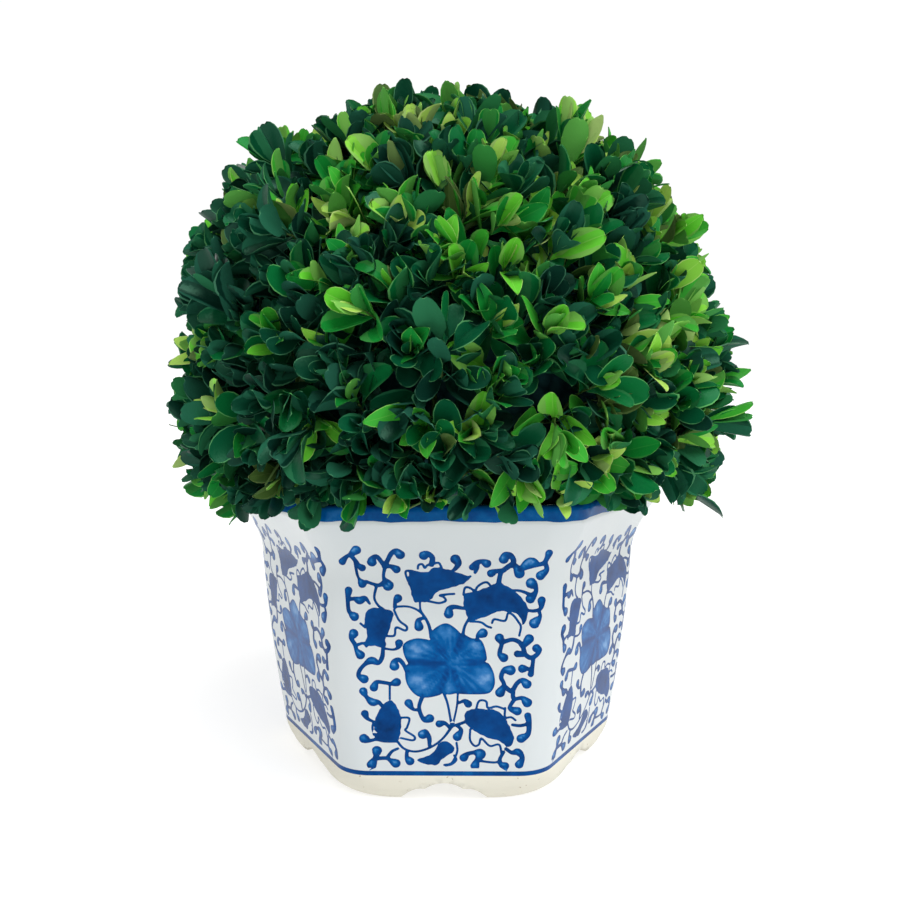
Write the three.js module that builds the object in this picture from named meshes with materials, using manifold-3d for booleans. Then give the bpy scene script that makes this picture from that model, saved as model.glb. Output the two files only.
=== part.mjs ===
// A box bush clipped to a ball, growing in a six-sided porcelain planter.
//
// Millimetres, +Z up. The origin is on the ground, under the middle of the planter.
//
//   pot       a turned profile drawn out to a hexagon with rounded corners, hollow, with a
//             flared lip, and a bracket cut out of the foot under each side
//   soil      fills the planter to below its rim
//   trunk     a short stem with a root flare, up to its fork
//   bough_N   tapering limbs that end where they enter the foliage
//   foliage   a leafy shell, hollow round the boughs, that leafy sprigs stand out of

import * as THREE from 'three';
import { mergeVertices } from 'three/addons/utils/BufferGeometryUtils.js';
import Module from 'manifold-3d';

const wasm = await Module();
wasm.setup();

const GAP = 0.35; // air left between two pieces that touch

// ---- driving dimensions: planter (radii are from the middle to a sharp corner) ------------
const FOOT_RADIUS = 88.4;
const FOOT_INNER_RADIUS = 78;
const BASE_RADIUS = 95;
const BASE_HEIGHT = 14.7; // where the foot ends and the body begins
const BODY_SWELL_RADIUS = 104; // the body's side bows out towards this
const BODY_SWELL_HEIGHT = 62;
const NECK_RADIUS = 107;
const NECK_HEIGHT = 112;
const LIP_RADIUS = 121.5;
const LIP_HEIGHT = 141;
const RIM_HEIGHT = 149.6;
const RIM_THICKNESS = 7.5;
const WALL_THICKNESS = 8;
const FLOOR_UNDERSIDE = 11;
const FLOOR_TOP = 19;
const CORNER_ROUNDING = 0.2; // fillet of a corner, as a share of the radius there
const FOOT_ROUNDING = 0.42;
const BRACKET_HALF_WIDTH = 21.3;
const BRACKET_HEIGHT = 9.5;
const CUSP_HALF_WIDTH = 9.3; // the points between the bracket's middle and side arches
const CUSP_HEIGHT = 6.2;

// ---- driving dimensions: plant ------------------------------------------------------------
const SOIL_TOP = 127;
const BALL_CENTRE = 209.3;
const BALL_RADIUS = 152.4; // out to the leaf tips
const CORE_RADIUS = 121;
const CORE_BOTTOM = RIM_HEIGHT + 0.6;
const HOLLOW_CENTRE = 192;
const HOLLOW_RADIUS = 82;
const TRUNK_RADIUS = 8.5;
const ROOT_FLARE = 7;
const TRUNK_TOP = 172;
const BOUGH_COUNT = 7;
const BOUGH_RADIUS = 5.2;
const BOUGH_TIP_RADIUS = 3;
const SPRIG_COUNT = 86;
const STEM_LENGTH = 8; // of a sprig's stem and its side twig, before a seeded extra
const SIDE_TWIG_LENGTH = 9;
const TWIG_EXTRA = 4;
const TWIG_RADIUS = 1.3;
const LEAF_LENGTH = 33;
const LEAF_WIDTH = 23;
const LEAF_THICKNESS = 0.9;
const SEED = 8;

const HALF_SECTOR = Math.PI / 6;

// ---- solids -------------------------------------------------------------------------------

// The closed solid that a geometry bounds, once its vertices are shared.
function solidOf(geometry) {
  const bare = geometry.clone();
  bare.deleteAttribute('normal');
  bare.deleteAttribute('uv');
  const merged = mergeVertices(bare, 1e-4);
  const index = merged.index.array;
  const kept = [];
  for (let i = 0; i < index.length; i += 3) {
    const [a, b, c] = [index[i], index[i + 1], index[i + 2]];
    if (a !== b && b !== c && c !== a) kept.push(a, b, c);
  }
  return new wasm.Manifold(new wasm.Mesh({
    numProp: 3,
    vertProperties: new Float32Array(merged.attributes.position.array),
    triVerts: new Uint32Array(kept),
  }));
}

function geometryOf(solid) {
  const mesh = solid.getMesh();
  const geometry = new THREE.BufferGeometry();
  geometry.setAttribute('position', new THREE.BufferAttribute(mesh.vertProperties, 3));
  geometry.setIndex(new THREE.BufferAttribute(mesh.triVerts, 1));
  geometry.computeVertexNormals();
  return geometry;
}

function largestBody(solid) {
  return solid.decompose().reduce((a, b) => (a.volume() > b.volume() ? a : b));
}

// ---- planter ------------------------------------------------------------------------------

const CORNER_STEPS = 4;
const OUTLINE_PLACES = 6 * (CORNER_STEPS + 1);

// The place-th point round a hexagon with that corner radius, its corners rounded off.
function hexagonPoint(place, radius, rounding) {
  const corner = Math.floor(place / (CORNER_STEPS + 1)) * 2 * HALF_SECTOR;
  const turn = corner + ((place % (CORNER_STEPS + 1)) / CORNER_STEPS - 0.5) * 2 * HALF_SECTOR;
  const fillet = rounding * radius;
  const centre = radius - fillet / Math.cos(HALF_SECTOR);
  return [
    centre * Math.cos(corner) + fillet * Math.cos(turn),
    centre * Math.sin(corner) + fillet * Math.sin(turn),
  ];
}

// Corners are rounder at the foot than on the body.
function roundingAt(height) {
  const low = THREE.MathUtils.smoothstep(height, 0, BASE_HEIGHT);
  return THREE.MathUtils.lerp(FOOT_ROUNDING, CORNER_ROUNDING, low);
}

// A profile of (radius, height) points, turned and drawn out to the hexagon.
function hexagonalLathe(profile) {
  const geometry = new THREE.LatheGeometry(profile, OUTLINE_PLACES);
  const position = geometry.attributes.position;
  for (let i = 0; i < position.count; i++) {
    const point = profile[i % profile.length];
    const place = Math.floor(i / profile.length) % OUTLINE_PLACES;
    const [x, y] = hexagonPoint(place, point.x, roundingAt(point.y));
    position.setXYZ(i, x, y, point.y);
  }
  return geometry;
}

// From the middle of the underside out to the foot, up the outside and over the rim.
function potOutside() {
  const rimEdge = 3;
  const path = new THREE.Path();
  path.moveTo(0, FLOOR_UNDERSIDE);
  path.lineTo(FOOT_INNER_RADIUS - 2, FLOOR_UNDERSIDE);
  path.lineTo(FOOT_INNER_RADIUS, 0);
  path.lineTo(FOOT_RADIUS, 0);
  path.quadraticCurveTo(BASE_RADIUS - 1.5, 2.5, BASE_RADIUS, BASE_HEIGHT - 3);
  path.lineTo(BASE_RADIUS, BASE_HEIGHT);
  path.quadraticCurveTo(BODY_SWELL_RADIUS, BODY_SWELL_HEIGHT, NECK_RADIUS, NECK_HEIGHT);
  path.bezierCurveTo(NECK_RADIUS + 1, NECK_HEIGHT + 9, LIP_RADIUS - 7, LIP_HEIGHT - 10,
    LIP_RADIUS, LIP_HEIGHT);
  path.lineTo(LIP_RADIUS, RIM_HEIGHT - rimEdge);
  path.quadraticCurveTo(LIP_RADIUS, RIM_HEIGHT, LIP_RADIUS - rimEdge, RIM_HEIGHT);
  path.lineTo(LIP_RADIUS - RIM_THICKNESS + 1, RIM_HEIGHT);
  return path.getPoints(5);
}

// From the mouth down the inside to the floor, and in to the axis. With a clearance, the
// outline of something that fills the planter and stays that far from it.
function potInside(clearance) {
  const floorRounding = 10;
  const thick = WALL_THICKNESS + clearance;
  const floor = FLOOR_TOP + clearance;
  const path = new THREE.Path();
  path.moveTo(LIP_RADIUS - RIM_THICKNESS - clearance, RIM_HEIGHT - 1);
  path.lineTo(LIP_RADIUS - thick, LIP_HEIGHT);
  path.quadraticCurveTo(NECK_RADIUS - thick + 3, NECK_HEIGHT + 12,
    NECK_RADIUS - thick, NECK_HEIGHT);
  path.lineTo(BASE_RADIUS - thick, FLOOR_TOP + floorRounding);
  path.quadraticCurveTo(BASE_RADIUS - thick, floor, BASE_RADIUS - thick - floorRounding, floor);
  path.lineTo(0, floor);
  return path.getPoints(3);
}

// The bracket cut out under one side: a middle arch between two smaller ones.
function bracketCut() {
  const below = -3;
  const shape = new THREE.Shape();
  shape.moveTo(-BRACKET_HALF_WIDTH, below);
  shape.lineTo(-BRACKET_HALF_WIDTH, 0);
  shape.quadraticCurveTo(5 - BRACKET_HALF_WIDTH, CUSP_HEIGHT + 1.2, -CUSP_HALF_WIDTH, CUSP_HEIGHT);
  shape.quadraticCurveTo(4 - CUSP_HALF_WIDTH, BRACKET_HEIGHT, 0, BRACKET_HEIGHT);
  shape.quadraticCurveTo(CUSP_HALF_WIDTH - 4, BRACKET_HEIGHT, CUSP_HALF_WIDTH, CUSP_HEIGHT);
  shape.quadraticCurveTo(BRACKET_HALF_WIDTH - 5, CUSP_HEIGHT + 1.2, BRACKET_HALF_WIDTH, 0);
  shape.lineTo(BRACKET_HALF_WIDTH, below);
  const cut = new THREE.ExtrudeGeometry(shape, {
    depth: 40, bevelEnabled: false, curveSegments: 3,
  });
  cut.rotateX(Math.PI / 2);
  cut.translate(0, -60, 0);
  return cut;
}

function makePot() {
  let pot = solidOf(hexagonalLathe([...potOutside(), ...potInside(0)]));
  for (let side = 0; side < 6; side++) {
    const cut = bracketCut();
    cut.rotateZ(side * 2 * HALF_SECTOR);
    pot = pot.subtract(solidOf(cut));
  }
  return pot;
}

// A block that holds everything below a height.
function allBelow(height) {
  const block = new THREE.BoxGeometry(400, 400, 400);
  block.translate(0, 0, height - 200);
  return solidOf(block);
}

function makeSoil() {
  const filling = [...potInside(GAP).reverse(), new THREE.Vector2(0, RIM_HEIGHT - 1)];
  return solidOf(hexagonalLathe(filling)).intersect(allBelow(SOIL_TOP));
}

// ---- trunk and boughs ---------------------------------------------------------------------

// A limb: a cylinder bent along a curve, with a radius for each place along it.
function limb(curve, radiusAt, sides, steps) {
  const geometry = new THREE.CylinderGeometry(1, 1, 1, sides, steps);
  const frames = curve.computeFrenetFrames(steps);
  const position = geometry.attributes.position;
  for (let i = 0; i < position.count; i++) {
    const along = position.getY(i) + 0.5;
    const ring = Math.round(along * steps);
    const radius = radiusAt(along);
    const point = curve.getPointAt(along)
      .addScaledVector(frames.binormals[ring], position.getX(i) * radius)
      .addScaledVector(frames.normals[ring], position.getZ(i) * radius);
    position.setXYZ(i, point.x, point.y, point.z);
  }
  return solidOf(geometry);
}

const trunkCurve = new THREE.CatmullRomCurve3([
  new THREE.Vector3(-0.5, 0, SOIL_TOP - 4),
  new THREE.Vector3(1.5, 0.5, SOIL_TOP + 14),
  new THREE.Vector3(0.5, -1, SOIL_TOP + 30),
  new THREE.Vector3(0, 0, TRUNK_TOP),
]);

// The stem from its flat cut on the soil to its fork, or a fuller one to cut a clearance with.
function makeTrunk(clearance) {
  const flare = (along) => ROOT_FLARE * Math.exp(-7 * along);
  const radiusAt = (along) => TRUNK_RADIUS - 1.5 * along + flare(along) + clearance;
  return limb(trunkCurve, radiusAt, 12, 9).subtract(allBelow(SOIL_TOP + GAP));
}

function hollowBall(radius) {
  const ball = new THREE.IcosahedronGeometry(radius, 3);
  ball.translate(0, 0, HOLLOW_CENTRE);
  return solidOf(ball);
}

// Boughs leave the trunk in a spiral, the lowest nearly level and the last one upright.
// Each is drawn on into the foliage, and is later cut off where it would enter it.
function boughCurve(number) {
  const share = number / (BOUGH_COUNT - 1);
  const turn = 0.5 + number * 2.4;
  const rise = THREE.MathUtils.degToRad(12 + 72 * share * share);
  const way = new THREE.Vector3(Math.cos(turn) * Math.cos(rise),
    Math.sin(turn) * Math.cos(rise), Math.sin(rise));
  const start = trunkCurve.getPointAt(0.62 + 0.3 * share);
  const end = start.clone().addScaledVector(way, HOLLOW_RADIUS + 16);
  const bend = start.clone().lerp(end, 0.45);
  bend.x += 3 * Math.sin(turn * 3);
  bend.z -= share < 1 ? 7 : 0;
  return new THREE.CatmullRomCurve3([start, bend, end]);
}

function makeBoughs() {
  const hollow = hollowBall(HOLLOW_RADIUS - GAP);
  const radiusAt = (along) => THREE.MathUtils.lerp(BOUGH_RADIUS, BOUGH_TIP_RADIUS, along);
  let taken = makeTrunk(GAP);
  const boughs = [];
  for (let number = 0; number < BOUGH_COUNT; number++) {
    const curve = boughCurve(number);
    const free = limb(curve, radiusAt, 7, 6).intersect(hollow).subtract(taken);
    boughs.push(largestBody(free));
    taken = taken.add(limb(curve, (along) => radiusAt(along) + GAP, 7, 6));
  }
  return boughs;
}

// ---- foliage ------------------------------------------------------------------------------

// Seeded random numbers from 0 to 1.
function randomFrom(seed) {
  let state = seed;
  return () => {
    state = (state + 0x6d2b79f5) | 0;
    let t = Math.imul(state ^ (state >>> 15), 1 | state);
    t = (t + Math.imul(t ^ (t >>> 7), 61 | t)) ^ t;
    return ((t ^ (t >>> 14)) >>> 0) / 4294967296;
  };
}

// A leaf of eight faces, widest past its middle, that runs along +Y from its root.
function leafBlade(length, width) {
  const blade = new THREE.OctahedronGeometry(1);
  const position = blade.attributes.position;
  for (let i = 0; i < position.count; i++) {
    const y = position.getY(i);
    const along = Math.abs(y) < 0.5 ? 0.6 : (y + 1) / 2;
    position.setXYZ(i, position.getX(i) * width / 2, along * length,
      position.getZ(i) * LEAF_THICKNESS / 2);
  }
  return blade;
}

// A three-sided twig that tapers from one point to another.
function twig(from, to, radius) {
  const length = from.distanceTo(to);
  const geometry = new THREE.CylinderGeometry(radius * 0.7, radius, length, 3, 1);
  geometry.translate(0, length / 2, 0);
  const turn = new THREE.Quaternion().setFromUnitVectors(
    new THREE.Vector3(0, 1, 0), to.clone().sub(from).normalize());
  geometry.applyQuaternion(turn);
  geometry.translate(from.x, from.y, from.z);
  return geometry;
}

const ballMiddle = new THREE.Vector3(0, 0, BALL_CENTRE);

// Whether a point is inside the ball and clear of the planter's lip.
function hasRoom(point) {
  if (point.distanceTo(ballMiddle) > BALL_RADIUS) return false;
  if (point.z > CORE_BOTTOM) return true;
  const outward = [1, 3, 5, 7, 9, 11].map((turns) => point.x * Math.cos(turns * HALF_SECTOR)
    + point.y * Math.sin(turns * HALF_SECTOR));
  return Math.max(...outward) > (LIP_RADIUS + 2.5) * Math.cos(HALF_SECTOR);
}

// One leaf from a root on a twig, splayed from the twig's direction, with its upper face
// turned towards the twig's tip.
function leafOn(root, twigDirection, side, splay, length) {
  const along = twigDirection.clone().multiplyScalar(Math.cos(splay))
    .addScaledVector(side, Math.sin(splay));
  const face = twigDirection.clone().multiplyScalar(Math.sin(splay))
    .addScaledVector(side, -Math.cos(splay));
  const across = new THREE.Vector3().crossVectors(along, face);
  const blade = leafBlade(length, length * LEAF_WIDTH / LEAF_LENGTH);
  blade.applyMatrix4(new THREE.Matrix4().makeBasis(across, along, face));
  blade.translate(root.x, root.y, root.z);
  return blade;
}

function allHasRoom(blade) {
  const corners = blade.attributes.position;
  for (let i = 0; i < corners.count; i++) {
    if (!hasRoom(new THREE.Vector3().fromBufferAttribute(corners, i))) return false;
  }
  return true;
}

// Adds a leaf at a root, in the first of a few splays and lengths that keeps it in its room
// and clear of its neighbours. A leaf that still touches one is left out.
function growLeaf(pieces, placed, root, way, sideways, splay, random) {
  for (const scale of [1, 0.88, 0.76]) {
    const length = LEAF_LENGTH * scale * (0.92 + 0.16 * random());
    const blade = leafOn(root, way, sideways, splay + 0.4 * (random() - 0.5), length);
    const solid = solidOf(blade);
    const touches = (other) => other.root.distanceTo(root) < 2.2 * LEAF_LENGTH
      && other.root.distanceTo(root) > 2 * TWIG_RADIUS
      && !other.solid.intersect(solid).isEmpty();
    if (allHasRoom(blade) && !placed.some(touches)) {
      placed.push({ root, solid });
      pieces.push(solid);
      return;
    }
  }
}

// A sprig: a stem out of the core with a side twig, and leaves in pairs at the end of each.
function sprig(direction, random, placed) {
  const lean = new THREE.Vector3(random() - 0.5, random() - 0.5, random() - 0.5);
  const outward = direction.clone().addScaledVector(lean, 0.3).normalize();
  const across = new THREE.Vector3().crossVectors(outward, lean).normalize();
  const side = across.clone().applyAxisAngle(outward, random() * Math.PI);
  const crossSide = new THREE.Vector3().crossVectors(outward, side);
  const sideWay = outward.clone().multiplyScalar(Math.cos(1)).addScaledVector(side, Math.sin(1));
  const sunk = 5;
  const foot = ballMiddle.clone().addScaledVector(direction, CORE_RADIUS - sunk);
  const tip = foot.clone().addScaledVector(outward, STEM_LENGTH + TWIG_EXTRA * random());
  const fork = foot.clone().addScaledVector(outward, sunk + 0.5);
  const sideTip = fork.clone()
    .addScaledVector(sideWay, SIDE_TWIG_LENGTH + TWIG_EXTRA * random());
  const pieces = [
    solidOf(twig(foot, tip, TWIG_RADIUS)),
    solidOf(twig(fork, sideTip, TWIG_RADIUS * 0.8)),
  ];
  const spots = [
    [tip, outward, crossSide, 0.8], [tip, outward, crossSide, -0.8],
    [fork, outward, side, -1.25],
    [sideTip, sideWay, crossSide, 0.8], [sideTip, sideWay, crossSide, -0.8],
  ];
  for (const [end, way, sideways, splay] of spots) {
    const root = end.clone().addScaledVector(way, -0.7)
      .addScaledVector(sideways, 0.35 * Math.sign(splay));
    growLeaf(pieces, placed, root, way, sideways, splay, random);
  }
  return pieces;
}

// Directions spread evenly over the ball, down to where its cut underside begins.
function sprigDirections() {
  const lowest = (CORE_BOTTOM + 5 - BALL_CENTRE) / CORE_RADIUS;
  const directions = [];
  for (let number = 0; number < SPRIG_COUNT; number++) {
    const z = lowest + (1 - lowest) * (number + 0.5) / SPRIG_COUNT;
    const turn = number * Math.PI * (3 - Math.sqrt(5));
    const flat = Math.sqrt(1 - z * z);
    directions.push(new THREE.Vector3(flat * Math.cos(turn), flat * Math.sin(turn), z));
  }
  return directions;
}

function makeFoliage() {
  const random = randomFrom(SEED);
  const core = new THREE.IcosahedronGeometry(CORE_RADIUS, 5);
  core.translate(0, 0, BALL_CENTRE);
  const shell = solidOf(core).subtract(hollowBall(HOLLOW_RADIUS)).subtract(allBelow(CORE_BOTTOM));
  const placed = [];
  const sprigs = sprigDirections().flatMap((direction) => sprig(direction, random, placed));
  const leafy = wasm.Manifold.union([shell, ...sprigs]);
  return largestBody(leafy.asOriginal().simplify(0.02));
}

// ---- the plant in its planter -------------------------------------------------------------

const plant = new THREE.Group();

function addPart(name, solid, colour, roughness) {
  const material = new THREE.MeshStandardMaterial({ color: colour, roughness, metalness: 0 });
  const mesh = new THREE.Mesh(geometryOf(solid), material);
  mesh.name = name;
  plant.add(mesh);
}

addPart('pot', makePot(), 0xe4e8ea, 0.15);
addPart('soil', makeSoil(), 0x2b1f16, 0.95);
addPart('trunk', makeTrunk(0), 0x6d5b45, 0.85);
makeBoughs().forEach((bough, number) => addPart(`bough_${number + 1}`, bough, 0x75634c, 0.85));
addPart('foliage', makeFoliage(), 0x1f5a24, 0.6);

export default plant;
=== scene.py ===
# A box bush clipped to a ball, in a six-sided porcelain planter painted in cobalt blue.
# Sizes are in millimetres, and the meshes are made in metres.

import math
import random

import bmesh
import bpy
import numpy as np
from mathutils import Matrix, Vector, noise
from mathutils.geometry import delaunay_2d_cdt


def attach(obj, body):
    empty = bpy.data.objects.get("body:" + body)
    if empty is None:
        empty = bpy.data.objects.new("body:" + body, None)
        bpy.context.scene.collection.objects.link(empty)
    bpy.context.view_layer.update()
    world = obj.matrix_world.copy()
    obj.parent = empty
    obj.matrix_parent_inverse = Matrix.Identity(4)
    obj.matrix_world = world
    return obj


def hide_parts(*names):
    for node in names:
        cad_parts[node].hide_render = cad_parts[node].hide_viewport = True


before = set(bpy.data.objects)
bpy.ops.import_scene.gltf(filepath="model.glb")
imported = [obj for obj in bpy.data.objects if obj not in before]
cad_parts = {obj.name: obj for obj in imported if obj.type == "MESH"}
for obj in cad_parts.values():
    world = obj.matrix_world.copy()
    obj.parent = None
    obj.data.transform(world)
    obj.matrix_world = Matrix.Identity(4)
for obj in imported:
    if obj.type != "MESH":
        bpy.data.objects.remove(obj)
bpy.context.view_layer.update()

# ---- camera and studio --------------------------------------------------------------------
# A hand-held camera looks a little down on the plant, straight at one side of the planter.
# The plant stands on a plain white light table, in a tent of white cloth that is dimmer
# overhead and in front, with one broad soft lamp high in front on the right.

MM = 0.001
CAMERA_PLACE = (9.3, -525.8, 212.5)
CAMERA_TILT = 84.64
CAMERA_TURN = 0.57
CAMERA_LENS = 37.47
FLOOR_SIZE = 40000
FLOOR_HEIGHT = -0.3       # a hair below the soles
PAPER_GLOW = 0.6
TENT_LOW = 1.03           # how bright the cloth is at the sides, overhead and in front
TENT_HIGH = 0.85
TENT_FRONT = 0.6
LAMP_WAY = (0.42, -0.58, 1.0)
LAMP_STRENGTH = 2.25
LAMP_SPREAD = 50

camera = bpy.data.objects.new("camera", bpy.data.cameras.new("camera"))
camera.data.lens = CAMERA_LENS
camera.data.sensor_width = 36
camera.location = Vector(CAMERA_PLACE) * MM
camera.rotation_euler = (math.radians(CAMERA_TILT), 0, math.radians(CAMERA_TURN))
bpy.context.scene.collection.objects.link(camera)
bpy.context.scene.camera = camera
bpy.context.scene.view_settings.view_transform = "Standard"

lamp = bpy.data.objects.new("soft_lamp", bpy.data.lights.new("soft_lamp", "SUN"))
lamp.data.energy = LAMP_STRENGTH
lamp.data.angle = math.radians(LAMP_SPREAD)
lamp.rotation_euler = Vector(LAMP_WAY).to_track_quat("Z", "Y").to_euler()
bpy.context.scene.collection.objects.link(lamp)


class Wire:
    """A socket of a material's nodes. Sums on it add Math nodes to its material."""

    def __init__(self, tree, socket=None):
        self.tree = tree
        self.socket = socket

    def node(self, kind, settings=None, sockets=None, output=0):
        """Adds a node, sets it up, fills its sockets, and gives one of its outputs."""
        made = self.tree.nodes.new(kind)
        for name, value in (settings or {}).items():
            if name == "stops":
                while len(made.color_ramp.elements) < len(value):
                    made.color_ramp.elements.new(1)
                for stop, (place, colour) in zip(made.color_ramp.elements, value):
                    stop.position = place
                    stop.color = (*colour, 1)
            else:
                setattr(made, name, value)
        for name, value in (sockets or {}).items():
            if isinstance(value, Wire):
                self.tree.links.new(value.socket, made.inputs[name])
            else:
                made.inputs[name].default_value = value
        return Wire(self.tree, made.outputs[output])

    def sum(self, operation, first, second):
        return self.node("ShaderNodeMath", {"operation": operation}, {0: first, 1: second})

    def __add__(self, other):
        return self.sum("ADD", self, other)

    def __radd__(self, other):
        return self.sum("ADD", other, self)

    def __sub__(self, other):
        return self.sum("SUBTRACT", self, other)

    def __rsub__(self, other):
        return self.sum("SUBTRACT", other, self)

    def __mul__(self, other):
        return self.sum("MULTIPLY", self, other)

    def __rmul__(self, other):
        return self.sum("MULTIPLY", other, self)

    def above(self, level, softness):
        """0 below a level and 1 above it, with a soft step between."""
        return self.node("ShaderNodeMapRange", {"interpolation_type": "SMOOTHSTEP"}, {
            "Value": self, "From Min": level - softness, "From Max": level + softness})

    def mix(self, first, second):
        """Between two colours, by this wire's value."""
        return self.node("ShaderNodeMix", {"data_type": "RGBA"}, {
            "Factor": self, "A": first, "B": second}, output=2)

    def place(self):
        """Where on its piece a spot of the surface lies."""
        return self.node("ShaderNodeTexCoord", output=3)

    def clouds(self, scale, detail=2.0):
        """Cloudy noise from 0 to 1, on a wire that holds a place."""
        return self.node("ShaderNodeTexNoise", None, {
            "Vector": self, "Scale": scale, "Detail": detail})

    def cells(self, scale):
        """How far a spot lies from the nearest of many scattered grains."""
        return self.node("ShaderNodeTexVoronoi", None, {"Vector": self, "Scale": scale})

    def relief(self, strength, depth):
        """Bumps where this wire's value is high, for a shader's Normal."""
        return self.node("ShaderNodeBump", None, {
            "Strength": strength, "Distance": depth, "Height": self})


def new_material(name):
    """An empty material, its shader, and a wire to start its nodes from."""
    material = bpy.data.materials.new(name)
    material.use_nodes = True
    return material, material.node_tree.nodes["Principled BSDF"], Wire(material.node_tree)


def feed(shader, sockets):
    """Sets a shader's sockets to plain values, or joins wires to them."""
    for name, value in sockets.items():
        if isinstance(value, Wire):
            value.tree.links.new(value.socket, shader.inputs[name])
        else:
            shader.inputs[name].default_value = value


def make_piece(name, points, faces, materials, face_materials=None):
    """A smooth mesh from points in millimetres and arrays of faces of equal size."""
    mesh = bpy.data.meshes.new(name)
    mesh.vertices.add(len(points))
    mesh.vertices.foreach_set("co", (np.asarray(points) * MM).ravel())
    corners = np.concatenate([array.ravel() for array in faces])
    sizes = np.concatenate([np.full(len(array), array.shape[1]) for array in faces])
    mesh.loops.add(len(corners))
    mesh.loops.foreach_set("vertex_index", corners)
    mesh.polygons.add(len(sizes))
    mesh.polygons.foreach_set("loop_start", np.cumsum(sizes) - sizes)
    for material in materials:
        mesh.materials.append(material)
    if face_materials is not None:
        mesh.polygons.foreach_set("material_index", face_materials)
    mesh.update(calc_edges=True)
    mesh.shade_smooth()
    piece = bpy.data.objects.new(name, mesh)
    bpy.context.scene.collection.objects.link(piece)
    return piece


tent = bpy.data.worlds.new("white_tent")
tent.use_nodes = True
wire = Wire(tent.node_tree)
way = wire.node("ShaderNodeTexCoord")
height = wire.node("ShaderNodeSeparateXYZ", None, {"Vector": way}, output=2)
depth = wire.node("ShaderNodeSeparateXYZ", None, {"Vector": way}, output=1)
cloth = tent.node_tree.nodes["Background"]
feed(cloth, {"Color": (1, 1, 1, 1),
             "Strength": TENT_LOW - height.above(0.6, 0.2) * (TENT_LOW - TENT_HIGH)
             - (0 - depth).above(0.2, 0.5) * (TENT_LOW - TENT_FRONT)})
bpy.context.scene.world = tent

white_paper, shader, _ = new_material("white_paper")
feed(shader, {"Base Color": (0.5, 0.5, 0.5, 1), "Roughness": 1.0, "Specular IOR Level": 0.0,
              "Emission Color": (1, 1, 1, 1), "Emission Strength": PAPER_GLOW})
floor_corners = [(x * FLOOR_SIZE / 2, y * FLOOR_SIZE / 2, FLOOR_HEIGHT)
                 for x, y in ((-1, -1), (1, -1), (1, 1), (-1, 1))]
floor = make_piece("floor", floor_corners, [np.array([[0, 1, 2, 3]])], [white_paper])

# ---- planter ------------------------------------------------------------------------------
# Slip-cast white porcelain, six-sided, with a flared lip and a bracket cut out of the foot
# under each side. Each side is painted by brush with cobalt under the glaze: a peony among
# dark leaves and curling tendrils. The foot is left bare, and a blue line parts it from the
# glaze. A blue band covers the rim.

FOOT_RADIUS = 88.4        # radii are from the middle to a sharp corner
FOOT_INNER_RADIUS = 78
BASE_RADIUS = 95
BASE_HEIGHT = 14.7
SWELL = (104, 62)
NECK = (107, 112)
LIP_RADIUS = 121.5
LIP_HEIGHT = 141
RIM_HEIGHT = 149.6
RIM_EDGE = 3
FLOOR_UNDERSIDE = 11
FLOOR_TOP = 19
WALL = 8
CORNER_ROUNDING = 0.2     # of a corner, as a share of the radius there
FOOT_ROUNDING = 0.42
BRACKET = [(-21.3, 0), (-16.3, 7.4), (-9.3, 6.2), (-5.3, 9.5), (0, 9.5)]
LINE_BOTTOM = 13.5
LINE_TOP = 15.9
BAND_BOTTOM = 142.4
LINE_COBALT = 0.74        # how strong the cobalt is, from 0 to 1
BAND_COBALT = 0.64
TENDRIL_COBALT = 0.82
LEAF_EDGE_COBALT = 0.76
LEAF_COBALT = 0.8
FLOWER_COBALT = 0.6
FAINTEST_COBALT = 0.3
RAGGED_EDGE = 0.55        # how unevenly the brush filled the leaves
SHARP_FOLD = 40           # degrees between faces that meet in a crisp edge
SIDE = math.pi / 3


def bezier(*knots, steps):
    """Points along a Bezier curve, after its first."""
    share = np.linspace(0, 1, steps + 1)[1:, None]
    level = [np.tile(np.array(knot, float), (steps, 1)) for knot in knots]
    while len(level) > 1:
        level = [a + (b - a) * share for a, b in zip(level, level[1:])]
    return level[0]


outside = np.vstack([
    [(FOOT_RADIUS, 0)],
    bezier((FOOT_RADIUS, 0), (BASE_RADIUS - 1.5, 2.5), (BASE_RADIUS, BASE_HEIGHT - 3), steps=20),
    [(BASE_RADIUS, BASE_HEIGHT)],
    bezier((BASE_RADIUS, BASE_HEIGHT), SWELL, NECK, steps=60),
    bezier(NECK, (NECK[0] + 1, NECK[1] + 9), (LIP_RADIUS - 7, LIP_HEIGHT - 10),
           (LIP_RADIUS, LIP_HEIGHT), steps=40),
    [(LIP_RADIUS, RIM_HEIGHT - RIM_EDGE)],
])
over_rim = np.vstack([
    bezier((LIP_RADIUS, RIM_HEIGHT - RIM_EDGE), (LIP_RADIUS, RIM_HEIGHT),
           (LIP_RADIUS - RIM_EDGE, RIM_HEIGHT), steps=5),
    [(LIP_RADIUS - 6, RIM_HEIGHT - 0.1), (LIP_RADIUS - 7.5, RIM_HEIGHT - 1.2)],
])
inside = np.vstack([
    [(LIP_RADIUS - WALL, LIP_HEIGHT)],
    bezier((LIP_RADIUS - WALL, LIP_HEIGHT), (NECK[0] - WALL + 3, NECK[1] + 12),
           (NECK[0] - WALL, NECK[1]), steps=6),
    bezier((NECK[0] - WALL, NECK[1]), (BASE_RADIUS - WALL, FLOOR_TOP + 10), steps=6),
    bezier((BASE_RADIUS - WALL, FLOOR_TOP + 10), (BASE_RADIUS - WALL, FLOOR_TOP),
           (BASE_RADIUS - WALL - 10, FLOOR_TOP), steps=4),
    [(40, FLOOR_TOP), (4, FLOOR_TOP)],
])


def radius_at(height):
    return np.interp(height, outside[:, 1], outside[:, 0])


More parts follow.
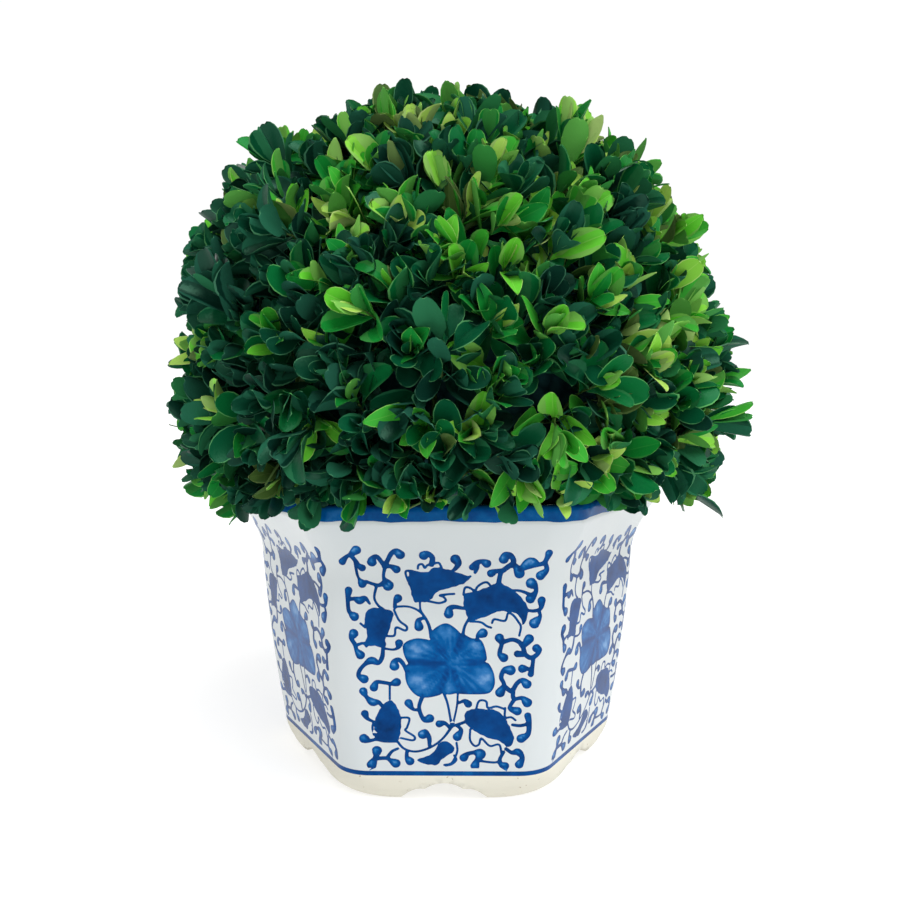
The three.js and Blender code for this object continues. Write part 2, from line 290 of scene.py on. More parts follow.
def corner_radius(radius, height):
    """Corners are rounder at the foot than on the body."""
    share = np.clip(np.asarray(height) / BASE_HEIGHT, 0, 1)
    smooth = share * share * (3 - 2 * share)
    return radius * (FOOT_ROUNDING + (CORNER_ROUNDING - FOOT_ROUNDING) * smooth)


def half_side(radius, height):
    """From a side's middle round to the middle of its corner."""
    rounded = corner_radius(radius, height)
    return radius / 2 + rounded * (math.pi / 6 - math.tan(math.pi / 6))


def on_side(across, radius, height):
    """The place that lies that far across the side which looks along -Y."""
    rounded = corner_radius(radius, height)
    flat = radius / 2 - rounded * math.tan(math.pi / 6)
    turn = np.clip(np.abs(across) - flat, 0, None) / rounded
    x = np.sign(across) * (np.minimum(np.abs(across), flat) + rounded * np.sin(turn))
    y = rounded * (1 - np.cos(turn)) - radius * math.cos(math.pi / 6)
    return np.stack([x, y, np.broadcast_to(height, np.shape(x))], axis=-1)


def smooth_line(rows, steps, closed=False):
    """A smooth line through rows of numbers."""
    rows = np.array(rows, float)
    before = [rows[-1]] if closed else [2 * rows[0] - rows[1]]
    after = [rows[0], rows[1]] if closed else [2 * rows[-1] - rows[-2]]
    knots = np.vstack([before, rows, after])
    t = np.linspace(0, 1, steps, endpoint=False)[:, None]
    spans = [0.5 * (2 * b + (c - a) * t + (2 * a - 5 * b + 4 * c - d) * t * t
                    + (3 * b - a - 3 * c + d) * t * t * t)
             for a, b, c, d in zip(knots, knots[1:], knots[2:], knots[3:])]
    return np.vstack([*spans, knots[-2:-1]])


# The drawing of one side is laid out on squared paper, counted from its top left. A brush
# stroke is its points across and down, and half its width there: tendrils end in round drops.
SQUARE = 0.714
SQUARE_HEIGHT = 0.781
PAPER_LEFT = -48.2
PAPER_TOP = 134.1
THIN = 0.66                # half the width of a stroke that gives none
FULL = 1.22                # brush strokes swell this much as the wet cobalt spreads
DROOP = [(8, -1.1), (25, -0.6), (40, 0), (56, 0.6), (100, 0.6), (145, 0)]

TENDRILS = [
    [(1, 14.5, 2.1), (4, 11, 1.2), (6.5, 9.5, 1.3), (10.5, 6.5, 2.7)],
    [(6.5, 9.5, 1.3), (10, 14, 1.2), (12, 17, 1.3), (14, 18.5, 2.1)],
    [(9.5, 14, 1), (10.5, 22, 0.8), (12, 26, 0.9), (14, 29, 2.4)],
    [(20.5, 14.5, 2.7), (21, 12, 1.6), (24, 11, 1.3), (28.5, 17, 1.3)],
    [(39, 9.5, 2.7), (36.5, 7, 1.6), (33.5, 8.5, 1.4), (31, 13, 1.3), (29, 17.5, 1.4)],
    [(28.5, 17.5, 1.4), (33, 17.5, 1.3), (36.5, 19.5, 2.3)],
    [(29, 18, 1.1), (28, 23, 0.9), (28.5, 26, 1.2), (31, 30, 3.1)],
    [(29, 28, 1.6), (25, 30, 1.1), (20.5, 29, 0.9), (16.5, 27.5, 0.9)],
    [(23.5, 30, 0.9), (22, 38, 0.7), (24.5, 43, 0.7), (28, 45.5, 0.7)],
    [(37.5, 38.5, 2.4), (35.8, 41, 1.2), (35.5, 44.5, 1)],
    [(35, 44, 0.7), (45, 44, 0.6), (53, 48, 0.7), (58, 56, 0.9), (59.5, 64, 0.9)],
    [(51.5, 57, 2.6), (51, 53, 1.4), (54, 51.5, 0.9), (56, 52, 0.7)],
    [(52, 41, 0.6), (52.5, 46, 0.6), (55.5, 51, 0.7)],
    [(5, 33.5, 2.2), (4.5, 39, 1.3), (5, 46, 1.2), (6.5, 48.5, 1.4), (9, 50.5, 2.6)],
    [(5, 39.5, 1), (9, 38.8, 1.2), (12.5, 40, 2.2), (16, 38.5, 1.3), (19, 42, 0.7)],
    [(8.5, 61.5, 2.7), (7, 64.5, 1.4), (9.5, 68.5, 1.3), (10.5, 72, 1.3), (13, 75, 2.6)],
    [(9.8, 69, 1), (15, 67.5, 0.8), (17, 69.5, 0.8)],
    [(28, 70, 1), (27.5, 76, 1.3), (25, 80, 1.3), (20.5, 78.5, 2.2), (16, 81, 1.2),
     (12.5, 85, 1.2), (12, 88.5, 1.4), (15.5, 90.5, 2.6)],
    [(29.5, 71, 0.7), (35, 71.5, 0.7), (38, 70, 1.2), (38.5, 67.5, 2.3)],
    [(35.5, 82, 2.8), (35.5, 79, 1.5), (38.5, 78, 1.3), (41.5, 81, 1.2), (43.5, 85.5, 1)],
    [(54.5, 10, 2.7), (57, 8.8, 1.6), (60, 11.5, 1.5), (59.5, 16, 1.6)],
    [(75, 12.5, 2.8), (77, 15.5, 1.8), (75, 19, 1.2), (73, 20.5, 0.8)],
    [(86, 18, 1.8), (89, 15, 1.6), (92.5, 14, 1.4), (95.5, 15.5, 2.5)],
    [(89, 15.5, 1.5), (89, 18.5, 1.4), (88, 21.5, 0.9)],
    [(106.5, 12.5, 2.7), (107.5, 9.5, 1.8), (111, 10, 1.6), (113, 14.5, 1.5), (109, 18, 1.5),
     (105, 21.5, 1.3), (103.5, 28.5, 1.4)],
    [(107, 20, 1.3), (102, 20.5, 1.3), (98.5, 22, 2.3)],
    [(110, 17, 1.4), (114, 17, 1.6), (117, 22, 2.9)],
    [(118, 19, 1.6), (124, 15, 3.3), (129, 16, 1.5), (133, 15, 1.4), (135, 11.5, 1.6),
     (136, 8.5, 2.2)],
    [(134, 15.5, 1.3), (135, 20, 1.6), (131, 23.5, 2.7)],
    [(71, 48.5, 2.7), (71.5, 45, 1.6), (75, 44, 1.3), (81, 45, 0.9)],
    [(125, 28.5, 3.1), (127.5, 30.5, 1.6), (128, 34, 1.3), (124.5, 38.5, 2.7)],
    [(125, 36, 1), (118, 33.5, 0.8), (112, 33, 0.6)],
    [(132, 40, 2.4), (131.5, 45, 1.2), (127, 46.5, 1), (122, 46, 0.8)],
    [(130.5, 47, 1), (131, 50.5, 1.2), (127.5, 54.5, 3.1)],
    [(84, 52, 0.7), (81.5, 57, 0.8), (80.5, 62, 0.9)],
    [(90, 65, 0.9), (90.5, 62.5, 1.3), (93.5, 61, 2.8)],
    [(104.5, 64, 2.6), (106, 67.5, 1.3), (105, 72, 1.3), (105, 74.5, 1.5), (107.5, 76.5, 2.6)],
    [(107, 66.5, 1.3), (113, 65, 1.2), (117.5, 66.5, 1.3), (120, 69, 1.4), (124, 64.5, 2.7)],
    [(120, 69.5, 1.3), (121, 74, 1.4), (116.5, 74, 2)],
    [(121, 74, 1.3), (125, 76.5, 1.4), (129, 75, 1.4), (131, 72, 1.6), (129, 70.5, 2.4)],
    [(127, 77, 1.2), (126.5, 82, 1.2), (125.5, 87, 1.8)],
    [(126, 84, 1.1), (123, 83.5, 1.2), (120, 83.5, 2.5)],
    [(112, 84.5, 3), (108, 84.5, 1.6), (106, 89, 1.3), (108, 94, 1.3), (105.5, 99, 2.8)],
    [(108.5, 95, 1.2), (113, 98, 1.4), (116.5, 93, 1.3), (120, 91, 1.5), (123, 93.5, 2.7)],
    [(114, 98, 1.3), (114.5, 103, 1.2), (120, 102.5, 1.3), (123.5, 105.5, 2.8)],
    [(114.5, 104, 1.2), (112, 109, 1.2), (117, 111, 2.6)],
    [(68.5, 100, 0.8), (71, 107, 0.7), (73.5, 120, 0.7)],
    [(77.5, 100, 0.6), (77, 108, 0.6), (74.5, 120, 0.6)],
    [(78, 106, 0.7), (82, 104.5, 1.2), (84.5, 106.5, 2.2)],
    [(54, 102, 1.2), (52, 108, 1.1), (53, 113, 1.2), (55.5, 117, 1.4), (59, 116, 2.6)],
    [(52.5, 110.5, 1), (48, 110, 1), (45, 106, 2.4)],
    [(65.5, 119.5, 2.2), (69, 119, 1.2), (72.5, 122, 1)],
    [(74, 121, 0.8), (79, 119.5, 0.9), (83, 118, 0.9)],
    [(77, 120.5, 0.9), (80, 123.5, 1.2), (77.5, 128, 2.6)],
    [(74, 121, 0.9), (68, 129, 0.7), (60, 135, 0.7), (50, 138, 0.7), (42, 136, 0.7),
     (37, 130.5, 0.8)],
    [(54.5, 126.5, 2.8), (56.5, 125, 1.6), (58.8, 129, 1.4), (59, 134, 1)],
    [(22, 96, 2.4), (24, 92.5, 1.3), (30, 93, 1.1), (33.5, 93.5, 1.2), (37, 92.5, 2.5)],
    [(15, 98.5, 2.4), (17, 102, 1.2), (21, 105.5, 2.3), (25, 105.5, 1.3), (27.5, 108, 1)],
    [(16, 113, 2.2), (17.5, 116, 1.2), (21, 118, 0.8)],
    [(15.5, 129.5, 2.9), (19, 130.8, 1.2), (23.5, 130, 1), (29, 131, 1), (37, 131, 1)],
    [(24, 137.5, 2.9), (23, 142, 1.4), (20.5, 147, 2.9)],
    [(22.5, 143, 1.2), (30, 142.5, 1.2), (33, 144, 1.4), (36.5, 146, 2.8)],
    [(31, 142, 1.1), (34, 138, 0.9), (38, 136, 0.8)],
    [(44, 137.5, 1), (44, 142, 1.3), (46, 144.5, 2.6)],
    [(124, 114, 2), (125, 119, 1.6), (124.5, 126, 1.6), (120, 129, 2.7)],
    [(114, 120, 0.9), (119, 120.5, 1), (124, 119.5, 1)],
    [(110, 136, 1.1), (114, 138.5, 1.2), (118, 138, 2.2), (121, 142, 1.4), (119, 146.5, 2.5)],
    [(108.5, 138, 1), (106, 143, 1.1), (107, 146.5, 1.6), (109.5, 147.5, 2.4)],
    [(82, 142, 2.5), (84.5, 139.5, 1.4), (89, 138.5, 1.4), (93, 139.5, 3.1), (91, 143, 1.4),
     (89.5, 147.5, 2.6)],
    [(91, 144, 0.8), (104, 145, 0.7), (107, 140, 0.7)],
]
LEAF_EDGES = [
    [(35, 46), (38.5, 53), (43.5, 57), (42.5, 59.5), (36.5, 57.5), (35.5, 62.5), (31, 63)],
    [(13, 55), (16, 57.5)],
    [(44, 27), (42.5, 22.5), (43, 20.5), (47, 20.5)],
    [(50.5, 19), (51, 16.5), (53.5, 16), (55, 18.5), (57, 16.5), (60, 17)],
    [(60, 16), (64, 15), (66, 18)],
    [(56, 40), (61, 41), (65, 41.5), (69, 40), (67.5, 37.5), (65, 36.5), (70, 35.8), (74.5, 35.5)],
    [(82, 25.5), (85, 24)],
    [(80.5, 36), (81.5, 31.5), (84.5, 31.5), (88, 33.5), (89.5, 31), (93, 28.5), (96, 28),
     (98.5, 30.5)],
    [(85, 53.5), (92, 54), (96, 56.5), (99, 57.5)],
    [(99.5, 54.5), (101, 52), (108, 53), (110, 48), (113.5, 49.5), (117, 54), (118.5, 57),
     (117.5, 62.5)],
    [(40, 115.5), (45.5, 116), (44, 122), (43, 124), (49, 128), (48, 130.5), (40, 129)],
    [(22, 118), (21, 122), (22, 127)],
    [(32.5, 103.5), (32.5, 94)],
    [(77, 132), (77.5, 138), (74, 145.5), (69, 147)],
    [(70, 147.5), (74, 146.5), (77, 143.5), (75.5, 140.5)],
    [(90, 109), (91, 105.5), (93, 104), (96.5, 105), (97.5, 109), (103, 108), (108, 109.5)],
    [(109, 109), (109, 115), (113, 115), (116, 117)],
    [(86, 123), (86, 130), (89, 134), (92, 133), (93.5, 129), (99, 134), (104, 133),
     (106, 134), (107, 139)],
]
LEAVES = [
    [(16.5, 48), (21.5, 45), (34, 47), (33, 56), (30, 64), (29, 70), (20, 69), (16, 69),
     (17.5, 62), (16, 56)],
    [(45, 20.5), (48, 20), (56, 21.5), (60, 18.5), (66, 18.5), (76, 21.5), (84.5, 24.5),
     (80, 29), (70, 32), (64, 34), (58, 40), (51, 41), (48, 40), (45, 31), (44, 27)],
    [(81, 35.5), (86, 34.5), (96, 31), (104, 28.5), (111, 31.5), (118, 37), (123, 45),
     (121.5, 53), (119.5, 55.5), (117, 50), (111, 47), (104, 47), (96, 50), (87, 53),
     (84, 52), (81, 44)],
    [(33, 104), (36, 107), (39.5, 113), (40, 120), (39, 129), (36, 131), (24, 130),
     (22.5, 123), (23.5, 115), (27.5, 108)],
    [(51, 143), (60, 140), (65, 133), (70, 131), (75, 134), (75, 138), (68, 143), (64, 147),
     (59, 147), (52, 145)],
    [(82, 116), (83, 112), (88, 109.5), (96, 109.5), (104, 111), (109, 116), (114, 125),
     (115, 131), (111, 135), (106, 131), (96, 128), (87, 123), (83, 119)],
]
FLOWER = [
    (60, 65), (60, 60), (65, 56), (70, 54.8), (75, 57.5), (79.5, 61.5), (81, 61.5), (86, 64), (92, 65),
    (95, 70), (96.5, 77), (95.5, 79.2), (98, 80.5), (101, 86), (102, 93), (100, 98), (96, 100),
    (86, 100.3), (79, 100), (77, 99.6), (72, 100.5), (67.5, 99.8), (65, 101), (57, 102.5),
    (50, 101), (44.5, 95), (42.5, 88), (43.5, 82), (44.5, 80.2), (43.5, 78.6), (41.5, 74),
    (41, 69), (44, 66), (50, 64.3), (56, 64.8), (59, 65.5)]
FLOWER_HEART = (73, 80)
CREASE_ENDS = [(60, 64), (43, 80), (64, 101), (80, 101), (98, 79), (81, 61)]
PETAL_LIGHTS = [(69, 61), (50, 70), (50, 90), (95, 90), (90, 69), (74, 79)]


def on_panel(rows):
    """Squares of the drawing, and half widths, as millimetres on a side of the planter. The
    painter's hand drew it a little uneven: it spreads to the lower left, and droops at the top."""
    rows = np.array([(*row, THIN)[:3] for row in rows], float)
    placed = rows * (SQUARE, -SQUARE_HEIGHT, SQUARE * FULL) + (PAPER_LEFT, PAPER_TOP, 0)
    placed[:, 0] += (1 - rows[:, 0] / 137) * (0.9 - rows[:, 1] / 55)
    placed[:, 1] += np.interp(rows[:, 1], *zip(*DROOP))
    return placed


def from_edge(line, points):
    """How far points lie outside a stroke's edge. Inside it is below zero."""
    found = np.full(len(points), 99.0)
    reach = 4 + line[:, 2].max()
    low, high = line[:, :2].min(0) - reach, line[:, :2].max(0) + reach
    near = np.flatnonzero(((points > low) & (points < high)).all(1))
    here, best = points[near], np.full(len(near), 99.0)
    for start, end in zip(line, line[1:]):
        way = end[:2] - start[:2]
        share = np.clip((here - start[:2]) @ way / max(way @ way, 1e-9), 0, 1)
        gap = np.linalg.norm(here - start[:2] - share[:, None] * way, axis=1)
        best = np.minimum(best, gap - start[2] - share * (end[2] - start[2]))
    found[near] = best
    return found


def from_outline(outline, points):
    """How far points lie outside a closed outline. Inside it is below zero."""
    bare = outline * (1, 1, 0)
    turns = np.zeros(len(points), bool)
    for start, end in zip(bare, bare[1:]):
        spans = (start[1] > points[:, 1]) != (end[1] > points[:, 1])
        rise = (points[:, 1] - start[1]) / np.where(spans, end[1] - start[1], 1)
        turns ^= spans & (points[:, 0] < start[0] + rise * (end[0] - start[0]))
    gap = from_edge(bare, points)
    return np.where(turns, -np.minimum(gap, 9), gap)


tendrils = [smooth_line(on_panel(rows), 5) for rows in TENDRILS]
leaf_edges = [smooth_line(on_panel(rows), 5) for rows in LEAF_EDGES]
painted_leaves = [smooth_line(on_panel(rows), 5, closed=True) for rows in LEAVES]
flower = smooth_line(on_panel(FLOWER), 6, closed=True)
heart = on_panel([FLOWER_HEART])[0]
creases = [np.array([heart, end]) for end in on_panel(CREASE_ENDS)]
lights = on_panel(PETAL_LIGHTS)[:, :2]


def drawing(points):
    """For points of a side: how far outside the paint they lie, and how strong it is there.
    A stroke is darkest at its edge, where the wet cobalt gathered, and pale in its drops,
    with a painted highlight up and to the left in each drop."""
    edge = np.full(len(points), 99.0)
    strength = np.zeros(len(points))
    ragged = np.array([RAGGED_EDGE * noise.noise(Vector((x * 0.42, y * 0.42, 4)))
                       for x, y in points])

    def lay(distance, darkness):
        nonlocal edge, strength
        edge = np.minimum(edge, distance)
        strength = np.maximum(strength, np.where(distance < 0.2, darkness, 0))

    for line in tendrils:
        distance = from_edge(line, points)
        # A painted highlight: each drop is paler up and to the left, as if lit from there.
        painted_glint = from_edge(line, points + (0.5, -0.6))
        lay(distance, TENDRIL_COBALT - 0.1 * np.clip(-distance - 0.5, 0, 1)
            - 0.4 * np.clip(-painted_glint - 1, 0, 0.8))
    for line in leaf_edges:
        lay(from_edge(line, points), LEAF_EDGE_COBALT)
    for outline in painted_leaves:
        distance = from_outline(outline, points) + ragged
        lay(distance, LEAF_COBALT + 0.06 * np.clip(-distance / 4, 0, 1))
    distance = from_outline(flower, points)
    crease = np.min([from_edge(line, points) for line in creases], axis=0)
    light = np.min([np.linalg.norm(points - spot, axis=1) for spot in lights], axis=0)
    turn = np.arctan2(*(points - heart[:2]).T)
    streaks = 0.06 * np.sin(23 * turn + 2 * np.sin(5 * turn)) * np.clip(light / 5, 0, 1)
    lay(distance, FLOWER_COBALT + 0.2 * np.exp(-(crease / 0.7) ** 2)
        - 0.17 * np.exp(-(light / 4.5) ** 2)
        + 0.22 * np.exp(-np.clip(-distance, 0, None) / 0.6) + streaks)
    return edge, strength


def paint_outline(field, across, up):
    """Points and edges of the line round the paint, from its field on a grid."""
    points, edges, known = [], [], {}

    def crossing(a, b):
        if (a, b) not in known:
            share = np.clip(field[a] / (field[a] - field[b]), 0.06, 0.94)
            known[(a, b)] = len(points)
            points.append((across[a[1]] + share * (across[b[1]] - across[a[1]]),
                           up[a[0]] + share * (up[b[0]] - up[a[0]])))
        return known[(a, b)]

    painted = field < 0
    corner_sum = (painted[:-1, :-1].astype(int) + painted[1:, :-1]
                  + painted[:-1, 1:] + painted[1:, 1:])
    for i, j in np.argwhere((corner_sum > 0) & (corner_sum < 4)):
        ring = [(i, j), (i, j + 1), (i + 1, j + 1), (i + 1, j)]
        cuts = [crossing(min(a, b), max(a, b)) for a, b in zip(ring, ring[1:] + ring[:1])
                if painted[a] != painted[b]]
        edges.extend(zip(cuts[::2], cuts[1::2]))
    return points, edges


def band_edge(share):
    """The lower edge of the rim's blue band, which the brush left a little wavy."""
    return BAND_BOTTOM + 0.35 * np.cos(3 * math.pi * share) + 0.2 * np.cos(8 * math.pi * share)


FLAT_SHARE = 0.786         # of half a side, from its middle to where the corner begins
column_shares = np.concatenate([
    np.linspace(-1, -FLAT_SHARE, 5)[:-1],
    np.linspace(-FLAT_SHARE, FLAT_SHARE, 13),
    np.linspace(FLAT_SHARE, 1, 5)[1:]])
row_heights = np.concatenate([
    [2, 4.5, 7.5, 10.5], np.linspace(19.5, 112, 23), np.linspace(114.5, 140, 11), [144.5]])
left_half = np.vstack([[BRACKET[0]], bezier(*BRACKET[:3], steps=6), bezier(*BRACKET[2:], steps=6)])
bracket_line = np.vstack([left_half, (left_half * (-1, 1))[-2::-1]])
foot_half = half_side(FOOT_RADIUS, 0)
foot_columns = np.linspace(-foot_half, BRACKET[0][0], 8)[:-1]
bottom_line = np.vstack([
    np.stack([foot_columns, 0 * foot_columns], axis=1), bracket_line,
    np.stack([-foot_columns[::-1], 0 * foot_columns], axis=1)])


def row_points(heights):
    """Points at the columns' places across a side, each at its height."""
    return np.stack([column_shares * half_side(radius_at(heights), heights),
                     np.broadcast_to(heights, column_shares.shape)], axis=1)


def is_above_foot(points):
    """Whether points lie above the bracket's outline."""
    return points[:, 1] > np.interp(points[:, 0], bottom_line[:, 0], bottom_line[:, 1]) + 1.5


side_points = []
side_edges = []


def add_line(points, closed=False):
    """Adds a line that triangles may not cross."""
    first = len(side_points)
    side_points.extend(tuple(point) for point in points)
    side_edges.extend((first + i, first + i + 1) for i in range(len(points) - 1))
    if closed:
        side_edges.append((first + len(points) - 1, first))


top_row = row_points(RIM_HEIGHT - RIM_EDGE)
band_row = row_points(band_edge(column_shares))
line_rows = [row_points(LINE_BOTTOM), row_points(LINE_TOP)]
side_heights = np.sort(np.concatenate([row_heights, [LINE_BOTTOM, LINE_TOP, band_row[0][1]]]))
right_edge = np.stack([half_side(radius_at(side_heights), side_heights), side_heights], axis=1)
left_edge = (right_edge * (-1, 1))[::-1]
add_line(np.vstack([bottom_line, right_edge, top_row[::-1], left_edge]), closed=True)
for row in (*line_rows, band_row):
    add_line(row[1:-1])
for height in row_heights:
    row = row_points(height)[1:-1]
    row = row[is_above_foot(row)]
    clear = np.abs(drawing(row)[0]) > 1.1
    side_points.extend(tuple(point) for point in row[clear])

GRID = 0.55                # between the spots that the paint's outline is found from
grid_across = np.arange(-54, 54, GRID)
grid_up = np.arange(17.5, 134, GRID)
grid = np.stack(np.meshgrid(grid_across, grid_up), axis=-1)
field = drawing(grid.reshape(-1, 2))[0].reshape(grid.shape[:2])
outline_points, outline_edges = paint_outline(field, grid_across, grid_up)
first = len(side_points)
side_points.extend(outline_points)
side_edges.extend((first + a, first + b) for a, b in outline_edges)
# More points inside the paint, and most where its strength changes: near its edge, and all
# over the petals.
for step, deepest, shallowest in ((2, -2.2, -0.7), (4, -99, -2.2)):
    sample = grid[::step, ::step].reshape(-1, 2)
    depth = field[::step, ::step].reshape(-1)
    side_points.extend(tuple(point) for point in sample[(depth > deepest) & (depth < shallowest)])
petals = grid[::2, ::2].reshape(-1, 2)
side_points.extend(tuple(point) for point in petals[from_outline(flower, petals) < -2.2])

flat_points, _, flat_faces, _, _, _ = delaunay_2d_cdt(
    [Vector(point) for point in side_points], side_edges, [], 1, 1e-5)
flat_points = np.array([tuple(point) for point in flat_points])
flat_faces = np.array([tuple(face) for face in flat_faces])
middles = flat_points[flat_faces].mean(1)
share_across = middles[:, 0] / half_side(radius_at(middles[:, 1]), middles[:, 1])
in_band = middles[:, 1] > band_edge(share_across) - 0.05
in_line = (middles[:, 1] > LINE_BOTTOM) & (middles[:, 1] < LINE_TOP)
in_paint = drawing(middles)[0] < 0
point_strength = drawing(flat_points)[1]
corner_cobalt = np.where(in_paint[:, None],
                         np.maximum(point_strength[flat_faces], FAINTEST_COBALT), 0)
corner_cobalt[in_line] = LINE_COBALT
corner_cobalt[in_band] = BAND_COBALT
corner_bare = np.repeat((middles[:, 1] < LINE_BOTTOM)[:, None], 3, axis=1).astype(float)


def strip(rows):
    """Quads between rows of points of equal length, left to right and row after row."""
    count = len(rows[0])
    corner = np.arange(len(rows) - 1)[:, None] * count + np.arange(count - 1)
    return np.stack([corner, corner + count, corner + count + 1, corner + 1], axis=-1).reshape(-1, 4)


def profile_row(radius, height):
    """Points across a side at the columns of its top, for the rim, the inside and the floor."""
    return on_side(column_shares * half_side(radius, height), radius, height)


upper_rows = [on_side(top_row[:, 0], LIP_RADIUS, top_row[:, 1])]
upper_rows += [profile_row(*place) for place in over_rim]
painted_rows = len(upper_rows) - 1
upper_rows += [profile_row(*place) for place in inside]

# Under the foot: from the outline's lower edge in to the foot's inner wall, up it, and to the
# middle of the recessed underside.
inner_half = half_side(FOOT_INNER_RADIUS, 0)
inner_share = (inner_half - BRACKET[-1][0] + BRACKET[0][0]) / (foot_half + BRACKET[0][0])
beyond = np.clip(np.abs(bottom_line[:, 0]) + BRACKET[0][0], 0, None)
inner_across = np.sign(bottom_line[:, 0]) * (
    np.abs(bottom_line[:, 0]) - beyond + beyond * inner_share)
inner_radius = FOOT_INNER_RADIUS - 2 * bottom_line[:, 1] / FLOOR_UNDERSIDE
inner_foot = on_side(inner_across, inner_radius, bottom_line[:, 1])
lower_rows = [on_side(bottom_line[:, 0], radius_at(bottom_line[:, 1]), bottom_line[:, 1]),
              inner_foot]
underside_edge = on_side(inner_across * (FOOT_INNER_RADIUS - 2) / FOOT_INNER_RADIUS,
                         FOOT_INNER_RADIUS - 2, 0.0) + (0, 0, FLOOR_UNDERSIDE)
lower_rows += [underside_edge * (size, size, 1) for size in (1, 0.6, 0.05)]

# Points, faces, cobalt and bareness of the painted side, of the rim with the inside, and of
# what lies under the foot.
side_parts = [
    (on_side(flat_points[:, 0], radius_at(flat_points[:, 1]), flat_points[:, 1]),
     flat_faces, corner_cobalt, corner_bare),
    (np.vstack(upper_rows), strip(upper_rows), None, 0),
    (np.vstack(lower_rows), strip(lower_rows)[:, ::-1], None, 1)]

pot_mesh = bmesh.new()
cobalt_layer = pot_mesh.loops.layers.float.new("cobalt")
bare_layer = pot_mesh.loops.layers.float.new("bare")
uv_layer = pot_mesh.loops.layers.uv.new("OFBake")
facing_layer = pot_mesh.verts.layers.float_vector.new("facing")


def outward(across, height):
    """Which way the outside faces at places on it."""
    step = 0.4
    low, high = np.clip(height - step, 0, None), np.clip(height + step, 0, RIM_HEIGHT - RIM_EDGE)
    width = half_side(radius_at(height), height)
    up = (on_side(across * half_side(radius_at(high), high) / width, radius_at(high), high)
          - on_side(across * half_side(radius_at(low), low) / width, radius_at(low), low))
    along = (on_side(across + step, radius_at(height), height)
             - on_side(across - step, radius_at(height), height))
    way = np.cross(along, up)
    return way / np.linalg.norm(way, axis=1)[:, None]


def turned(places, side):
    """Places on the front side, turned round the axis to another of the six sides."""
    turn = side * SIDE
    return places @ np.array([[math.cos(turn), math.sin(turn), 0],
                              [-math.sin(turn), math.cos(turn), 0], [0, 0, 1]])


# The finishes are spread on one flat map: the six sides in two rows of three fields, and over
# them the strips of the rim and the underside.
MAP_FIELD = (124, 156)
MAP_SIDES = 0.8
MAP_STRIPS = 0.2

side_facing = outward(flat_points[:, 0], flat_points[:, 1])
for side in range(6):
    for part, (points, faces, cobalt, bare) in enumerate(side_parts):
        verts = [pot_mesh.verts.new(place * MM) for place in turned(points, side)]
        if part == 0:
            for vert, facing in zip(verts, turned(side_facing, side)):
                vert[facing_layer] = facing
            place_u = (side % 3 + 0.5 + flat_points[:, 0] / MAP_FIELD[0]) / 3
            place_v = (side // 3 + 0.02 + flat_points[:, 1] / MAP_FIELD[1]) * MAP_SIDES / 2
        else:
            count = len(upper_rows[0]) if part == 1 else len(lower_rows[0])
            place = np.arange(len(points))
            place_u = (side + 0.02 + 0.96 * (place % count) / (count - 1)) / 6
            rows = len(points) / count
            place_v = MAP_SIDES + MAP_STRIPS * (
                (place // count) / rows * 0.48 + 0.5 * (part - 1) + 0.01)
        for number, face in enumerate(faces):
            made = pot_mesh.faces.new([verts[i] for i in face])
            made.smooth = True
            row_painted = part == 1 and face[0] // count < painted_rows
            for corner, loop in enumerate(made.loops):
                spot = face[corner]
                loop[uv_layer].uv = (place_u[spot], place_v[spot])
                if part == 0:
                    loop[cobalt_layer] = cobalt[number][corner]
                    loop[bare_layer] = bare[number][corner]
                else:
                    loop[cobalt_layer] = BAND_COBALT if row_painted else 0
                    loop[bare_layer] = bare

# The six sides are joined along their corners, and what is still open, in the middle of the
# floor and of its underside, is closed.
bmesh.ops.remove_doubles(pot_mesh, verts=pot_mesh.verts, dist=2e-6)
holes = [edge for edge in pot_mesh.edges if edge.is_boundary]
bmesh.ops.holes_fill(pot_mesh, edges=holes, sides=400)
bmesh.ops.recalc_face_normals(pot_mesh, faces=pot_mesh.faces)
painted_planter = bpy.data.objects.new("painted_planter", bpy.data.meshes.new("painted_planter"))
pot_mesh.to_mesh(painted_planter.data)
pot_mesh.free()
bpy.context.scene.collection.objects.link(painted_planter)
pot_data = painted_planter.data
pot_data.set_sharp_from_angle(angle=math.radians(SHARP_FOLD))
facing = np.zeros(len(pot_data.vertices) * 3, np.float32)
pot_data.attributes["facing"].data.foreach_get("vector", facing)
pot_data.normals_split_custom_set_from_vertices(facing.reshape(-1, 3).tolist())
pot_data.attributes.remove(pot_data.attributes["facing"])


def colour(red, green, blue):
    """A colour as seen on a screen, 0 to 255, as the light that a surface gives back."""
    seen = np.array([red, green, blue]) / 255
    light = np.where(seen < 0.04045, seen / 12.92, ((seen + 0.055) / 1.055) ** 2.4)
    return tuple(float(part) for part in light)


def paint(red, green, blue):
    """The same as four numbers, for a socket."""
    return (*colour(red, green, blue), 1)


painted_glaze, shader, wire = new_material("painted_glaze")
cobalt = wire.node("ShaderNodeAttribute", {"attribute_name": "cobalt"}, output=2)
bare = wire.node("ShaderNodeAttribute", {"attribute_name": "bare"}, output=2)
place = wire.place()
brushed = cobalt + (place.clouds(260, 4) - 0.5) * 0.34 + (place.clouds(85, 1) - 0.5) * 0.4
cobalt_wash = brushed.node("ShaderNodeValToRGB", {"stops": [
    (0.3, colour(116, 158, 204)), (0.45, colour(46, 112, 174)), (0.58, colour(0, 86, 152)),
    (0.72, colour(0, 66, 132)), (0.88, colour(0, 52, 112)), (1, colour(0, 36, 84))]},
    {"Fac": brushed})
milk = place.clouds(22, 3)
glaze_white = milk.mix(paint(202, 208, 211), paint(211, 215, 214))
painted = cobalt.above(0.15, 0.05).mix(glaze_white, cobalt_wash)
grain = place.clouds(420, 5)
clay = milk.mix(paint(212, 208, 193), paint(226, 223, 209))
bare_clay = grain.above(0.71, 0.03).mix(clay, paint(150, 128, 96))
ripple = place.clouds(55)
